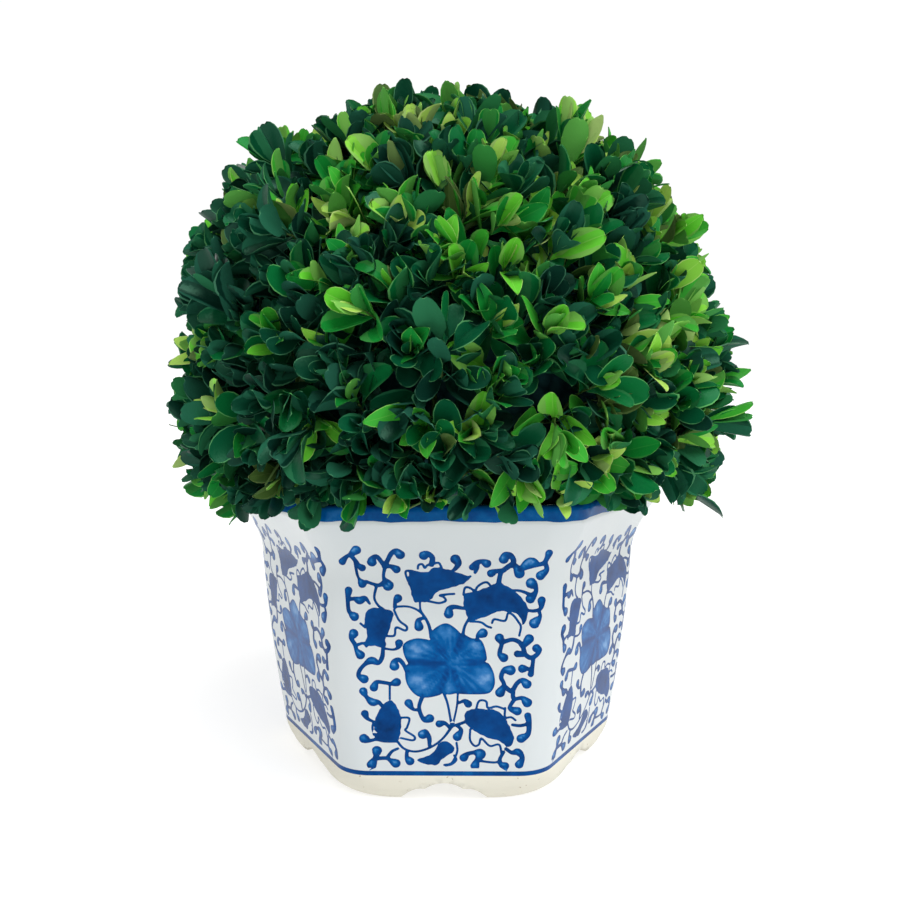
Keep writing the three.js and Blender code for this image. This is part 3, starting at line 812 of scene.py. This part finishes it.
feed(shader, {"Base Color": bare.mix(painted, bare_clay), "Roughness": 0.14 + bare * 0.46,
              "Specular IOR Level": 0.15, "Specular Tint": (0.4, 0.75, 1, 1),
              "Normal": (ripple + bare * grain * 0.9).relief(0.25, 0.0006)})
pot_data.materials.append(painted_glaze)
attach(painted_planter, "root")
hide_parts("pot")

# ---- potting soil -------------------------------------------------------------------------
# Dark damp potting soil, filled in to a finger's width below the rim and left loose and
# crumbly. Leaf litter and grit show in it.

SOIL_TOP = 127
SOIL_GAP = 0.35
SOIL_RINGS = 46


def random_bumps(places, size, seed):
    """Smooth noise from -1 to 1 at places in millimetres, with bumps of about a size."""
    return np.array([noise.noise(Vector(place) / size + Vector((seed, 7 * seed, -3 * seed)))
                     for place in np.asarray(places, float)])


def all_round(radius, height, shrink):
    """One row of points round the whole hexagon, left open at its seam."""
    across = column_shares[:-1] * half_side(radius, height)
    row = on_side(across, radius, height) * (shrink, shrink, 1)
    return np.vstack([turned(row, side) for side in range(6)])


def ring_faces(ring_count, length):
    """Quads between closed rings of points, and a fan over the first and the last ring."""
    start = np.arange(ring_count - 1)[:, None] * length
    here, after = np.arange(length), (np.arange(length) + 1) % length
    quads = np.stack([start + here, start + after, start + length + after,
                      start + length + here], axis=-1).reshape(-1, 4)
    first_cap = np.stack([after, here, np.full(length, ring_count * length)], axis=-1)
    last = (ring_count - 1) * length
    last_cap = np.stack([last + here, last + after, np.full(length, ring_count * length + 1)],
                        axis=-1)
    return [quads, first_cap, last_cap]


def inside_radius(height):
    """From the planter's axis to the corners of its inside, between the floor and the rim."""
    return np.interp(height, inside[::-1, 1][2:], inside[::-1, 0][2:])


soil_rings = [all_round(BASE_RADIUS - WALL - SOIL_GAP, FLOOR_TOP + SOIL_GAP, shrink)
              for shrink in (0.03, 0.4, 0.88)]
for height in (FLOOR_TOP + 10, 60, 90, NECK[1], 119, SOIL_TOP - 2):
    soil_rings.append(all_round(inside_radius(height) - SOIL_GAP, height, 1))
top_radius = inside_radius(SOIL_TOP) - SOIL_GAP - 0.5
for shrink in np.linspace(1, 0.02, SOIL_RINGS):
    ring = all_round(top_radius, SOIL_TOP, shrink)
    crumbs = (1.5 * random_bumps(ring, 17, 3) + 1.1 * random_bumps(ring, 5, 5)
              + 0.6 * np.abs(random_bumps(ring, 2.2, 9)))
    ring[:, 2] += np.where(shrink > 0.97, -0.5, crumbs - 0.8)
    soil_rings.append(ring)
soil_length = len(soil_rings[0])
soil_ends = [soil_rings[0].mean(0), soil_rings[-1].mean(0)]
potting_soil, shader, wire = new_material("potting_soil")
place = wire.place()
clods = place.clouds(240, 6)
grit = (0.16 - place.cells(330)).above(0, 0.03)
earth = clods.mix(paint(28, 20, 14), paint(78, 58, 42))
feed(shader, {"Base Color": grit.mix(earth, paint(128, 112, 88)),
              "Roughness": 0.95 - place.clouds(40) * 0.25,
              "Normal": clods.relief(0.6, 0.0012)})
soil_fill = make_piece("soil_fill", np.vstack([*soil_rings, *soil_ends]),
                       ring_faces(len(soil_rings), soil_length), [potting_soil])
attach(soil_fill, "root")
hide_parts("soil")

# ---- trunk and boughs ---------------------------------------------------------------------
# One short woody stem with a root flare, cut off level with the soil in the model. Seven
# boughs leave it in a spiral, the lowest nearly level. The bark is grey-brown, with shallow
# fissures that run along the wood.

TRUNK_RADIUS = 8.5
ROOT_FLARE = 7
TRUNK_TOP = 172
BOUGH_COUNT = 7
BOUGH_TURN = 2.4          # from one bough to the next round the trunk, in radians
LOWEST_BOUGH = 12         # degrees above level
HIGHEST_BOUGH = 84
BOUGH_RADIUS = 5.2
BOUGH_TIP_RADIUS = 3
HOLLOW_CENTRE = 192
HOLLOW_RADIUS = 82


def limb_mesh(line, radii, sides, fissure=0.0, seed=0):
    """Points and faces of a closed limb round a line, with fissures along it of a depth."""
    ways = np.gradient(line, axis=0)
    ways /= np.linalg.norm(ways, axis=1)[:, None]
    helper = np.array([0.3, 1, 0.1]) if abs(ways[:, 1]).mean() < 0.7 else np.array([1, 0.2, 0.1])
    across = np.cross(ways, helper)
    across /= np.linalg.norm(across, axis=1)[:, None]
    up = np.cross(ways, across)
    turn = np.arange(sides) * 2 * math.pi / sides
    round_way = (across[:, None] * np.cos(turn)[:, None] + up[:, None] * np.sin(turn)[:, None])
    radii = np.broadcast_to(np.asarray(radii, float)[:, None], (len(line), sides)).copy()
    if fissure:
        along = np.concatenate([[0], np.cumsum(np.linalg.norm(np.diff(line, axis=0), axis=1))])
        for ring in range(len(line)):
            for k in range(sides):
                spot = Vector((math.cos(turn[k]) * 2.2, math.sin(turn[k]) * 2.2,
                               along[ring] / 9 + seed))
                crack = 1 - abs(noise.noise(spot * 1.7))
                radii[ring, k] += fissure * (noise.noise(spot) - 1.3 * max(crack - 0.82, 0) * 5)
    rings = line[:, None] + round_way * radii[..., None]
    points = np.vstack([rings.reshape(-1, 3), line[0], line[-1]])
    return points, ring_faces(len(line), sides)


trunk_knots = [(-0.5, 0, SOIL_TOP - 4), (1.5, 0.5, SOIL_TOP + 14), (0.5, -1, SOIL_TOP + 30),
               (0, 0, TRUNK_TOP)]
trunk_line = smooth_line(trunk_knots, 14)
trunk_share = np.linspace(0, 1, len(trunk_line))
trunk_radii = (TRUNK_RADIUS - 1.5 * trunk_share + ROOT_FLARE * np.exp(-7 * trunk_share))
above_soil = trunk_line[:, 2] > SOIL_TOP + 0.3
bark, shader, wire = new_material("fissured_bark")
place = wire.place()
stretched = wire.node("ShaderNodeMapping", None, {"Vector": place, "Scale": (1, 1, 0.25)})
ridges = wire.node("ShaderNodeTexNoise", None, {"Vector": stretched, "Scale": 420.0,
                                                "Detail": 5.0, "Roughness": 0.7})
lichen = place.clouds(90, 3).above(0.62, 0.05) * 0.5
wood_tone = ridges.above(0.5, 0.2).mix(paint(62, 50, 38), paint(146, 130, 108))
feed(shader, {"Base Color": lichen.mix(wood_tone, paint(150, 156, 132)), "Roughness": 0.88,
              "Normal": ridges.relief(0.7, 0.0008)})
points, faces = limb_mesh(trunk_line[above_soil], trunk_radii[above_soil], 40, 0.55, 1)
trunk_bark = make_piece("trunk_bark", points, faces, [bark])
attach(trunk_bark, "root")
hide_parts("trunk")

bough_tips = []
for number in range(BOUGH_COUNT):
    share = number / (BOUGH_COUNT - 1)
    turn = 0.5 + number * BOUGH_TURN
    rise = math.radians(LOWEST_BOUGH + (HIGHEST_BOUGH - LOWEST_BOUGH) * share * share)
    way = np.array([math.cos(turn) * math.cos(rise), math.sin(turn) * math.cos(rise),
                    math.sin(rise)])
    start = trunk_line[round((0.62 + 0.3 * share) * (len(trunk_line) - 1))]
    end = start + way * (HOLLOW_RADIUS + 16)
    bend = start + (end - start) * 0.45
    bend += (3 * math.sin(turn * 3), 0, -7 if share < 1 else 0)
    bough_line = smooth_line([start, bend, end], 16)
    from_hollow = np.linalg.norm(bough_line - (0, 0, HOLLOW_CENTRE), axis=1)
    bough_line = bough_line[from_hollow < HOLLOW_RADIUS]
    bough_share = np.linspace(0, 1, len(bough_line))
    radii = BOUGH_RADIUS + (BOUGH_TIP_RADIUS - BOUGH_RADIUS) * bough_share
    points, faces = limb_mesh(bough_line, radii, 24, 0.35, 10 + number)
    bough_bark = make_piece(f"bough_bark_{number + 1}", points, faces, [bark])
    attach(bough_bark, "root")
    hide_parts(f"bough_{number + 1}")
    bough_tips.append(bough_line[-1])
bough_tips = np.array(bough_tips)

# ---- inner growth -------------------------------------------------------------------------
# Under the clipped face a box bush is a dense shell of old shaded leaves and short twigs,
# hollow round the boughs. It is nearly black in the gaps between the outer sprigs. The shell's
# dark blue-green is painted shade, with darker patches that are partly leaf litter and partly
# painted shade between old leaves.

BALL_CENTRE = np.array([0, 0, 209.3])
INNER_RADIUS = 107
INNER_BOTTOM = RIM_HEIGHT + 0.6
INNER_SEAMS = 144
INNER_RINGS = 60
HOLLOW_RINGS = 20

lowest = math.asin((INNER_BOTTOM - BALL_CENTRE[2]) / INNER_RADIUS)
hollow_lowest = math.asin((INNER_BOTTOM - HOLLOW_CENTRE) / HOLLOW_RADIUS)
turn = np.arange(INNER_SEAMS) * 2 * math.pi / INNER_SEAMS
flat_turn = np.stack([np.cos(turn), np.sin(turn), 0 * turn], axis=1)
inner_rings = []
for rise in np.linspace(math.radians(89), lowest, INNER_RINGS):
    way = flat_turn * math.cos(rise) + (0, 0, math.sin(rise))
    spots = BALL_CENTRE + way * INNER_RADIUS
    leafy = (3.2 * random_bumps(spots, 15, 2) + 3.4 * random_bumps(spots, 6, 4)
             + 1.6 * random_bumps(spots, 2.8, 6))
    ring = spots + way * leafy[:, None]
    ring[:, 2] = np.maximum(ring[:, 2], INNER_BOTTOM)
    inner_rings.append(ring)
inner_rings[-1][:, 2] = INNER_BOTTOM
for rise in np.linspace(hollow_lowest, math.radians(89), HOLLOW_RINGS):
    way = flat_turn * math.cos(rise) + (0, 0, math.sin(rise))
    spots = (0, 0, HOLLOW_CENTRE) + way * HOLLOW_RADIUS
    inner_rings.append(spots + way * (0.6 + np.abs(2 * random_bumps(spots, 7, 8)))[:, None])
    inner_rings[-1][:, 2] = np.maximum(inner_rings[-1][:, 2], INNER_BOTTOM)
painted_shade_growth, shader, wire = new_material("painted_shade_growth")
place = wire.place()
# Painted shade: a dark blue-green shell, darker in a net of patches that are partly leaf litter and
# partly painted shade between old leaves.
litter_and_gap_shade = place.cells(130)
leaves_in_painted_shade = place.clouds(60, 4).mix(paint(46, 84, 94), paint(46, 92, 88))
feed(shader, {"Base Color": litter_and_gap_shade.above(0.5, 0.3).mix(leaves_in_painted_shade, paint(24, 50, 56)),
              "Roughness": 1.0, "Specular IOR Level": 0.0, "Normal": litter_and_gap_shade.relief(1.0, 0.003)})
points = np.vstack([*inner_rings, inner_rings[0].mean(0), inner_rings[-1].mean(0)])
inner_growth = make_piece("inner_growth", points, ring_faces(len(inner_rings), INNER_SEAMS),
                          [painted_shade_growth])
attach(inner_growth, "root")
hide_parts("foliage")

# ---- branches and sprig stems -------------------------------------------------------------
# Thin woody branches run out from the tips of the boughs, and each forks into green sprig
# stems, which shears have kept to the ball.

BRANCH_COUNT = 110
BRANCH_REACH = 107
BRANCH_RADII = (1.9, 1.1)
BRANCH_BEND = 6
SPRIG_COUNT = 760
SPRIG_LOWEST = math.asin((INNER_BOTTOM - 7 - BALL_CENTRE[2]) / 140)
SPRIG_REACH = 131.8
SPRIG_LENGTH = 16
SPRIG_SPREAD = 0.38        # how far sprigs lean out of the straight way, at random
SPRIG_TRIES = 4
SPRIG_UNEVEN = (-6, 5)
LONG_SPRIG_SHARE = 0.1
LONG_SPRIG_EXTRA = (5, 12)
STEM_RADII = (1, 0.45)
CLUMP_RELIEF = 4
PATCH_RELIEF = 5
RIM_SPRIG_COUNT = 64       # shorter ones, which rest on the rim
RIM_SPRIG_SLOPE = 0.42
RIM_SPRIG_REACH = 120
UPPER_HEIGHT = 178         # above it sprigs grow upwards, and below it they hang at the sides
UPPER_LIFT = 0.22
SIDE_LIFT = -0.3
SIDE_LEFT = -35
SIDE_RIGHT = 80
LEAF_HANG = 2.5            # how far leaves hang below the ball, and further at both sides
LEAF_HANG_LEFT = 15
LEAF_HANG_RIGHT = 9
LEFT_FROM, LEFT_OVER = 22, 45
RIGHT_FROM, RIGHT_OVER = 30, 90
GOLDEN_TURN = math.pi * (3 - math.sqrt(5))
dice = random.Random(17)


def spread_directions(count, lowest_height):
    """Directions spread evenly over a ball, down to a height between -1 and 1."""
    number = np.arange(count) + 0.5
    height = lowest_height + (1 - lowest_height) * number / count
    flat = np.sqrt(1 - height * height)
    turn = number * GOLDEN_TURN
    return np.stack([flat * np.cos(turn), flat * np.sin(turn), height], axis=1)


# How much further out the shears went than a true ball, in millimetres, by the angle up from
# the right as seen from the front: a little flat at the sides and over the top.
CLIPPING = [(-90, 0), (-20, 0), (-10, 3), (4, 1), (16, -7), (28, -2), (35, -6), (46, 4),
            (62, -5), (72, -8), (82, -2), (92, -5), (118, -6), (130, -4), (145, 0), (155, -2),
            (166, -7), (178, -13), (190, 1), (205, -4), (270, 0)]


def unit(way):
    return way / np.linalg.norm(way)


def clipping(way):
    """How much further out than a true ball the plant reaches there."""
    angle = (math.degrees(math.atan2(way[2], way[0])) + 90) % 360 - 90
    return np.interp(angle, *zip(*CLIPPING)) * math.hypot(way[0], way[2]) ** 2


def jitter(size):
    return np.array([dice.gauss(0, size), dice.gauss(0, size), dice.gauss(0, size)])


class Bundle:
    """Many small meshes gathered into one piece."""

    def __init__(self):
        self.points = []
        self.faces = {3: [], 4: []}
        self.kinds = {3: [], 4: []}
        self.count = 0

    def add(self, points, faces, kinds=None):
        for number, array in enumerate(faces):
            width = array.shape[1]
            self.faces[width].append(array + self.count)
            self.kinds[width].append(kinds[number] if kinds else np.zeros(len(array), int))
        self.points.append(points)
        self.count += len(points)

    def piece(self, name, materials):
        widths = [width for width in (3, 4) if self.faces[width]]
        faces = [np.concatenate(self.faces[width]) for width in widths]
        kinds = np.concatenate([kind for width in widths for kind in self.kinds[width]])
        return make_piece(name, np.concatenate(self.points), faces, materials, kinds)


hexagon_ways = np.array([[math.cos(k * SIDE + SIDE / 2), math.sin(k * SIDE + SIDE / 2)]
                         for k in range(6)])
lip_clearance = (LIP_RADIUS + 2) * math.cos(SIDE / 2)


def over_planter(points):
    """Which points lie over the planter, or as good as touch its lip."""
    return (points[:, :2] @ hexagon_ways.T).max(1) < lip_clearance


def is_clear(points):
    """Whether points are clear of the planter, and not lower than leaves hang there. They
    hang over the rim at the left and at the sides, and show most of it at the front."""
    low = points[points[:, 2] < INNER_BOTTOM + 6]
    if not len(low):
        return True
    left = np.clip((-low[:, 0] - LEFT_FROM) / LEFT_OVER, 0, 1)
    right = np.clip((low[:, 0] - RIGHT_FROM) / RIGHT_OVER, 0, 1)
    uneven = np.array([4 * noise.noise(Vector((x / 9, y / 9, 3))) for x, y, _ in low])
    hang = INNER_BOTTOM - LEAF_HANG + uneven - LEAF_HANG_LEFT * left - LEAF_HANG_RIGHT * right
    if (low[:, 2] < hang).any():
        return False
    return not over_planter(low[low[:, 2] < INNER_BOTTOM]).any()


branch_ends = []
branches = Bundle()
for way in spread_directions(BRANCH_COUNT, math.sin(SPRIG_LOWEST)):
    way = unit(way + jitter(0.04))
    end = BALL_CENTRE + way * BRANCH_REACH
    end[2] = max(end[2], INNER_BOTTOM + 2)
    start = bough_tips[np.argmin(np.linalg.norm(bough_tips - end, axis=1))]
    bend = start + (end - start) * 0.5 + unit(end - BALL_CENTRE) * BRANCH_BEND + jitter(3)
    bend[2] = max(bend[2], INNER_BOTTOM + 3)
    line = smooth_line([start, bend, end], 5)
    branches.add(*limb_mesh(line, np.linspace(*BRANCH_RADII, len(line)), 6))
    branch_ends.append(end)
branch_ends = np.array(branch_ends)
young_bark, shader, wire = new_material("young_bark")
place = wire.place()
flecks = place.clouds(380, 3)
feed(shader, {"Base Color": flecks.mix(paint(66, 58, 36), paint(112, 100, 66)), "Roughness": 0.8})
branch_piece = branches.piece("branches", [young_bark])
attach(branch_piece, "root")
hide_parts("foliage")

# Each sprig makes random draws of its own, so that a change to one leaves the rest alone.
sprigs = []
stems = Bundle()
rim_turns = np.arange(RIM_SPRIG_COUNT) * GOLDEN_TURN
rim_ways = np.stack([np.cos(rim_turns), np.sin(rim_turns), 0 * rim_turns - RIM_SPRIG_SLOPE], axis=1)
sprig_ways = [*spread_directions(SPRIG_COUNT, math.sin(SPRIG_LOWEST)), *rim_ways]
for number, way in enumerate(sprig_ways):
    dice.seed(number)
    way = unit(way + jitter(0.035))
    clump = noise.noise(Vector(way) * 4.5 + Vector((3, 1, 9)))
    patch = noise.noise(Vector(way) * 11 + Vector((5, 8, 2)))
    reach = SPRIG_REACH if number < SPRIG_COUNT else RIM_SPRIG_REACH
    reach += (clipping(way) + CLUMP_RELIEF * clump + PATCH_RELIEF * patch
              + dice.uniform(*SPRIG_UNEVEN))
    if dice.random() < LONG_SPRIG_SHARE:
        reach += dice.uniform(*LONG_SPRIG_EXTRA)
    tip = BALL_CENTRE + way * reach
    lift = 0
    if tip[2] > UPPER_HEIGHT:
        lift = UPPER_LIFT
    elif not SIDE_LEFT <= tip[0] <= SIDE_RIGHT:
        lift = SIDE_LIFT
    for _ in range(SPRIG_TRIES):
        axis = unit(way + jitter(SPRIG_SPREAD) + (0, 0, lift))
        if is_clear(np.array([tip, tip + axis * 6])):
            break
    else:
        continue
    foot = branch_ends[np.argmin(np.linalg.norm(branch_ends - tip, axis=1))]
    bend = tip - axis * SPRIG_LENGTH
    line = smooth_line([foot, foot + (bend - foot) * 0.6, bend, tip], 2)
    low = over_planter(line) & (line[:, 2] < INNER_BOTTOM + 1)
    line[low, 2] = INNER_BOTTOM + 1
    stems.add(*limb_mesh(line, np.linspace(*STEM_RADII, len(line)), 4))
    sprigs.append((number, tip, axis, way, patch))
green_stem, shader, wire = new_material("green_stem")
place = wire.place()
streaks = place.clouds(300)
feed(shader, {"Base Color": streaks.mix(paint(40, 78, 30), paint(92, 118, 48)), "Roughness": 0.6})
stem_piece = stems.piece("sprig_stems", [green_stem])
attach(stem_piece, "root")
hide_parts("foliage")

# ---- leaves -------------------------------------------------------------------------------
# Box leaves grow in crossed pairs: small, leathery and spoon-shaped, with a shallow notch at
# the tip, a folded midrib and a thin pale edge, which is partly a painted highlight along the
# curled rim. The upper face is glossy and the underside paler and matt. Old leaves are dark
# blue-green, and new ones are bright or yellow-green.

LEAF_LENGTH = 24
LEAF_THICKNESS = 0.017    # as a share of the length
LEAF_STATIONS = [0.0, 0.18, 0.4, 0.6, 0.77, 0.89, 0.96, 0.994]
BLADE, EDGE_AND_SHEEN, RIB, UNDERSIDE = 0, 1, 2, 3
PLAIN = np.array([-1, -0.92, 0, 0.92, 1])
RIBBED = np.array([-1, -0.92, -0.04, 0.04, 0.92, 1])


def leaf_template(across, half_width, widest, tip_power, notch, fold, dome, curl, sway, twist):
    """Points of a leaf of length 1 that lies along +Y with its upper face to +Z. Across has
    its columns of points, from edge to edge."""
    top, under = [], []
    for along in LEAF_STATIONS:
        swell = max(math.sin(math.pi * along ** widest), 0) ** tip_power
        half = max(half_width * swell * min(along / 0.4, 1) ** 0.7, 0.028)
        x = across * half
        y = along - notch * (np.abs(across) < 0.5) * (along > 0.97)
        z = fold * np.abs(x) - dome * x * x / half_width
        turn = twist * along
        middle, droop = sway * along * along, curl * along ** 2.4
        top.append(np.stack([x * math.cos(turn) - z * math.sin(turn) + middle, y,
                             x * math.sin(turn) + z * math.cos(turn) - droop], axis=1))
        under.append([middle, y.min(), -droop - LEAF_THICKNESS])
    return np.vstack([*top, under])


def leaf_faces(row_kinds):
    """Faces of a leaf, and which material each takes, from those of one row across it."""
    stations, columns = len(LEAF_STATIONS), len(row_kinds) + 1
    top = strip(np.zeros((stations, columns)))[:, ::-1]
    top_kinds = np.tile(row_kinds, stations - 1)
    here = np.arange(stations - 1)
    spine = stations * columns + here
    left, right = here * columns, here * columns + columns - 1
    under = np.vstack([np.stack([left, left + columns, spine + 1, spine], axis=1),
                       np.stack([spine, spine + 1, right + columns, right], axis=1)])[:, ::-1]
    last = (stations - 1) * columns
    point = np.arange(columns - 1)
    tip = np.stack([last + point + 1, last + point,
                    np.full(columns - 1, stations * columns + stations - 1)], axis=1)
    base = np.stack([point, point + 1, np.full(columns - 1, stations * columns)], axis=1)
    quads = np.vstack([top, under])
    ends = np.vstack([tip, base])
    return ([quads, ends], [np.concatenate([top_kinds, np.full(len(under), UNDERSIDE)]),
                            np.full(len(ends), EDGE_AND_SHEEN)])


PLAIN_FACES = leaf_faces([EDGE_AND_SHEEN, BLADE, BLADE, EDGE_AND_SHEEN])
RIBBED_FACES = leaf_faces([EDGE_AND_SHEEN, BLADE, RIB, BLADE, EDGE_AND_SHEEN])


def old_leaf(across):
    """A broad leaf with a blunt tip, like a spoon."""
    return leaf_template(across, half_width=dice.uniform(0.2, 0.27),
                         widest=dice.uniform(1.6, 2.0), tip_power=0.42, notch=0.02,
                         fold=dice.uniform(0.0, 0.32), dome=dice.uniform(-0.9, 0.6),
                         curl=dice.uniform(-0.15, 0.3), sway=dice.uniform(-0.08, 0.08),
                         twist=dice.uniform(-0.35, 0.35))


def young_leaf():
    """A narrower leaf with a softer tip."""
    return leaf_template(RIBBED, half_width=dice.uniform(0.16, 0.22),
                         widest=dice.uniform(1.2, 1.5), tip_power=0.7, notch=0,
                         fold=dice.uniform(0.05, 0.4), dome=dice.uniform(-0.4, 0.5),
                         curl=dice.uniform(-0.1, 0.3), sway=dice.uniform(-0.1, 0.1),
                         twist=dice.uniform(-0.35, 0.35))


dark_shapes = [(old_leaf(PLAIN), PLAIN_FACES) for _ in range(20)]
bright_shapes = [(old_leaf(RIBBED), RIBBED_FACES) for _ in range(12)]
young_shapes = [(young_leaf(), RIBBED_FACES) for _ in range(10)]

# Name, blade, edge, rib and underside of each tint, from the oldest leaves to the youngest,
# and the share of the sprigs that take it. Olive, which comes last, is for fading leaves.
LEAF_TINTS = [
    ("night_green", (10, 48, 38), (68, 124, 96), (14, 50, 46), (32, 84, 66), 0.3),
    ("deep_green", (9, 64, 44), (76, 138, 98), (16, 68, 50), (34, 94, 70), 0.24),
    ("forest_green", (8, 79, 49), (84, 152, 96), (20, 92, 55), (40, 108, 72), 0.19),
    ("emerald", (10, 102, 51), (92, 168, 94), (28, 116, 58), (38, 110, 62), 0.125),
    ("mid_green", (22, 130, 50), (108, 188, 90), (44, 144, 60), (54, 136, 62), 0.08),
    ("fresh_green", (60, 166, 50), (136, 204, 94), (86, 176, 64), (86, 158, 68), 0.045),
    ("bright_green", (100, 196, 54), (164, 220, 110), (124, 204, 76), (118, 182, 80), 0.024),
    ("lime", (142, 214, 74), (188, 228, 124), (158, 218, 92), (144, 196, 98), 0.01),
    ("yellow_green", (172, 214, 94), (200, 224, 136), (184, 216, 110), (162, 194, 112), 0.005),
    ("olive", (72, 100, 46), (126, 148, 88), (90, 114, 58), (90, 116, 64), 0.02)]
OLIVE = len(LEAF_TINTS) - 1
MID = 4                   # the first of the bright tints
# Painted light: sprigs to the right and the top take lighter tints, as if lit from there.
PAINTED_LIGHT_RIGHT = 0.13
PAINTED_LIGHT_UP = 0.24
LIGHTER_PATCH = 0.12
LIGHTER_ALL = 0.02
tint_steps = np.cumsum([tint[-1] for tint in LEAF_TINTS[:OLIVE]])
tint_steps /= tint_steps[-1]


def tint_of(way, patch):
    """Which tint a sprig takes: lighter to the top and the right, darker low and left, as painted
    light from the upper right.
    """
    if dice.random() < LEAF_TINTS[OLIVE][-1]:
        return OLIVE
    light = (dice.random() + PAINTED_LIGHT_RIGHT * way[0] + PAINTED_LIGHT_UP * way[2]
             + LIGHTER_PATCH * patch + LIGHTER_ALL)
    return int(np.searchsorted(tint_steps[:-1], min(max(light, 0), 0.999)))


def tint_of_leaf(tint, youth):
    """A leaf's tint: young leaves are brighter than their sprig."""
    if tint == OLIVE and dice.random() < 0.6 or dice.random() < 0.015:
        return OLIVE
    tint = min(tint, MID + 1) + dice.choice((-1, 0, 0, 0, 1))
    tint += round(youth)
    if dice.random() < 0.04:
        tint += dice.randint(2, 5)
    return min(max(tint, 0), OLIVE - 1)


leaf_bundles = [Bundle() for _ in LEAF_TINTS]
# How far behind the tip each pair sits, how far it splays from the stem, its size, and how
# much the youth of a growing sprig shows in it. Most sprigs have dropped the last pair.
PAIRS = [(0.3, 9, 0.76, 1.0), (2.5, 17, 0.94, 0.6), (6.5, 27, 1, 0.1), (11.5, 39, 1.04, -0.1),
         (17, 52, 1.04, -0.2)]
DROPPED_SHARE = 0.68
GROWING_SHARE = 0.38
YOUTH_GROWING = (1.5, 6.5)
YOUTH_RESTING = (0, 1)
for number, tip, axis, way, patch in sprigs:
    dice.seed(number + 1)
    tint = tint_of(way, patch)
    # Painted light: growing sprigs, whose leaves are brighter, are commoner to the right and the top.
    growing = dice.random() < GROWING_SHARE + 0.14 * way[0] + 0.18 * way[2]
    youth = dice.uniform(*(YOUTH_GROWING if growing else YOUTH_RESTING))
    start_turn = dice.uniform(0, math.pi)
    openness = dice.uniform(0.75, 1.4)
    side = unit(np.cross(axis, jitter(1)))
    other = np.cross(axis, side)
    kept_pairs = PAIRS[:-1] if dice.random() < DROPPED_SHARE else PAIRS
    for pair, (back, splay, size, freshness) in enumerate(kept_pairs):
        pair_turn = start_turn + pair * math.pi / 2 + dice.gauss(0, 0.3)
        for half in (0, math.pi):
            turn = pair_turn + half + dice.gauss(0, 0.15)
            out = side * math.cos(turn) + other * math.sin(turn)
            lean = math.radians(splay * openness + dice.gauss(0, 10))
            along = unit(axis * math.cos(lean) + out * math.sin(lean) + jitter(0.12))
            face = axis * math.sin(lean) - out * math.cos(lean) + jitter(0.2)
            across = unit(np.cross(along, face))
            face = np.cross(across, along)
            length = LEAF_LENGTH * size * dice.uniform(0.82, 1.18)
            leaf_tint = tint_of_leaf(tint, youth * freshness)
            if leaf_tint >= MID and dice.random() < 0.5:
                shapes = young_shapes
            else:
                shapes = bright_shapes if leaf_tint >= MID else dark_shapes
            shape, (faces, kinds) = dice.choice(shapes)
            points = shape * length @ np.array([across, along, face]) + tip - axis * back
            if is_clear(points):
                leaf_bundles[leaf_tint].add(points, faces, kinds)


def leaf_surface(name, tone, roughness, gloss):
    """A leathery surface of one plain colour, with a fine grain."""
    surface, shader, wire = new_material(name)
    feed(shader, {"Base Color": paint(*tone), "Roughness": roughness,
                  "Specular IOR Level": gloss, "Specular Tint": (0.4, 1, 0.65, 1),
                  "Normal": wire.place().clouds(900).relief(0.25, 0.0004)})
    return surface


for number, bundle in enumerate(leaf_bundles):
    name, blade, edge, rib, underside, _ = LEAF_TINTS[number]
    surfaces = [leaf_surface(f"{name}_blade", blade, 0.32, max(0.38 - 0.05 * number, 0.18)),
                # The pale edge colour is partly the leaf's own margin and partly a painted highlight
                # along its curled rim.
                leaf_surface(f"{name}_edge", edge, 0.5, 0.16),
                leaf_surface(f"{name}_rib", rib, 0.45, 0.16),
                leaf_surface(f"{name}_underside", underside, 0.6, 0.08)]
    leaf_piece = bundle.piece(f"leaves_{name}", surfaces)
    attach(leaf_piece, "root")
    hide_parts("foliage")
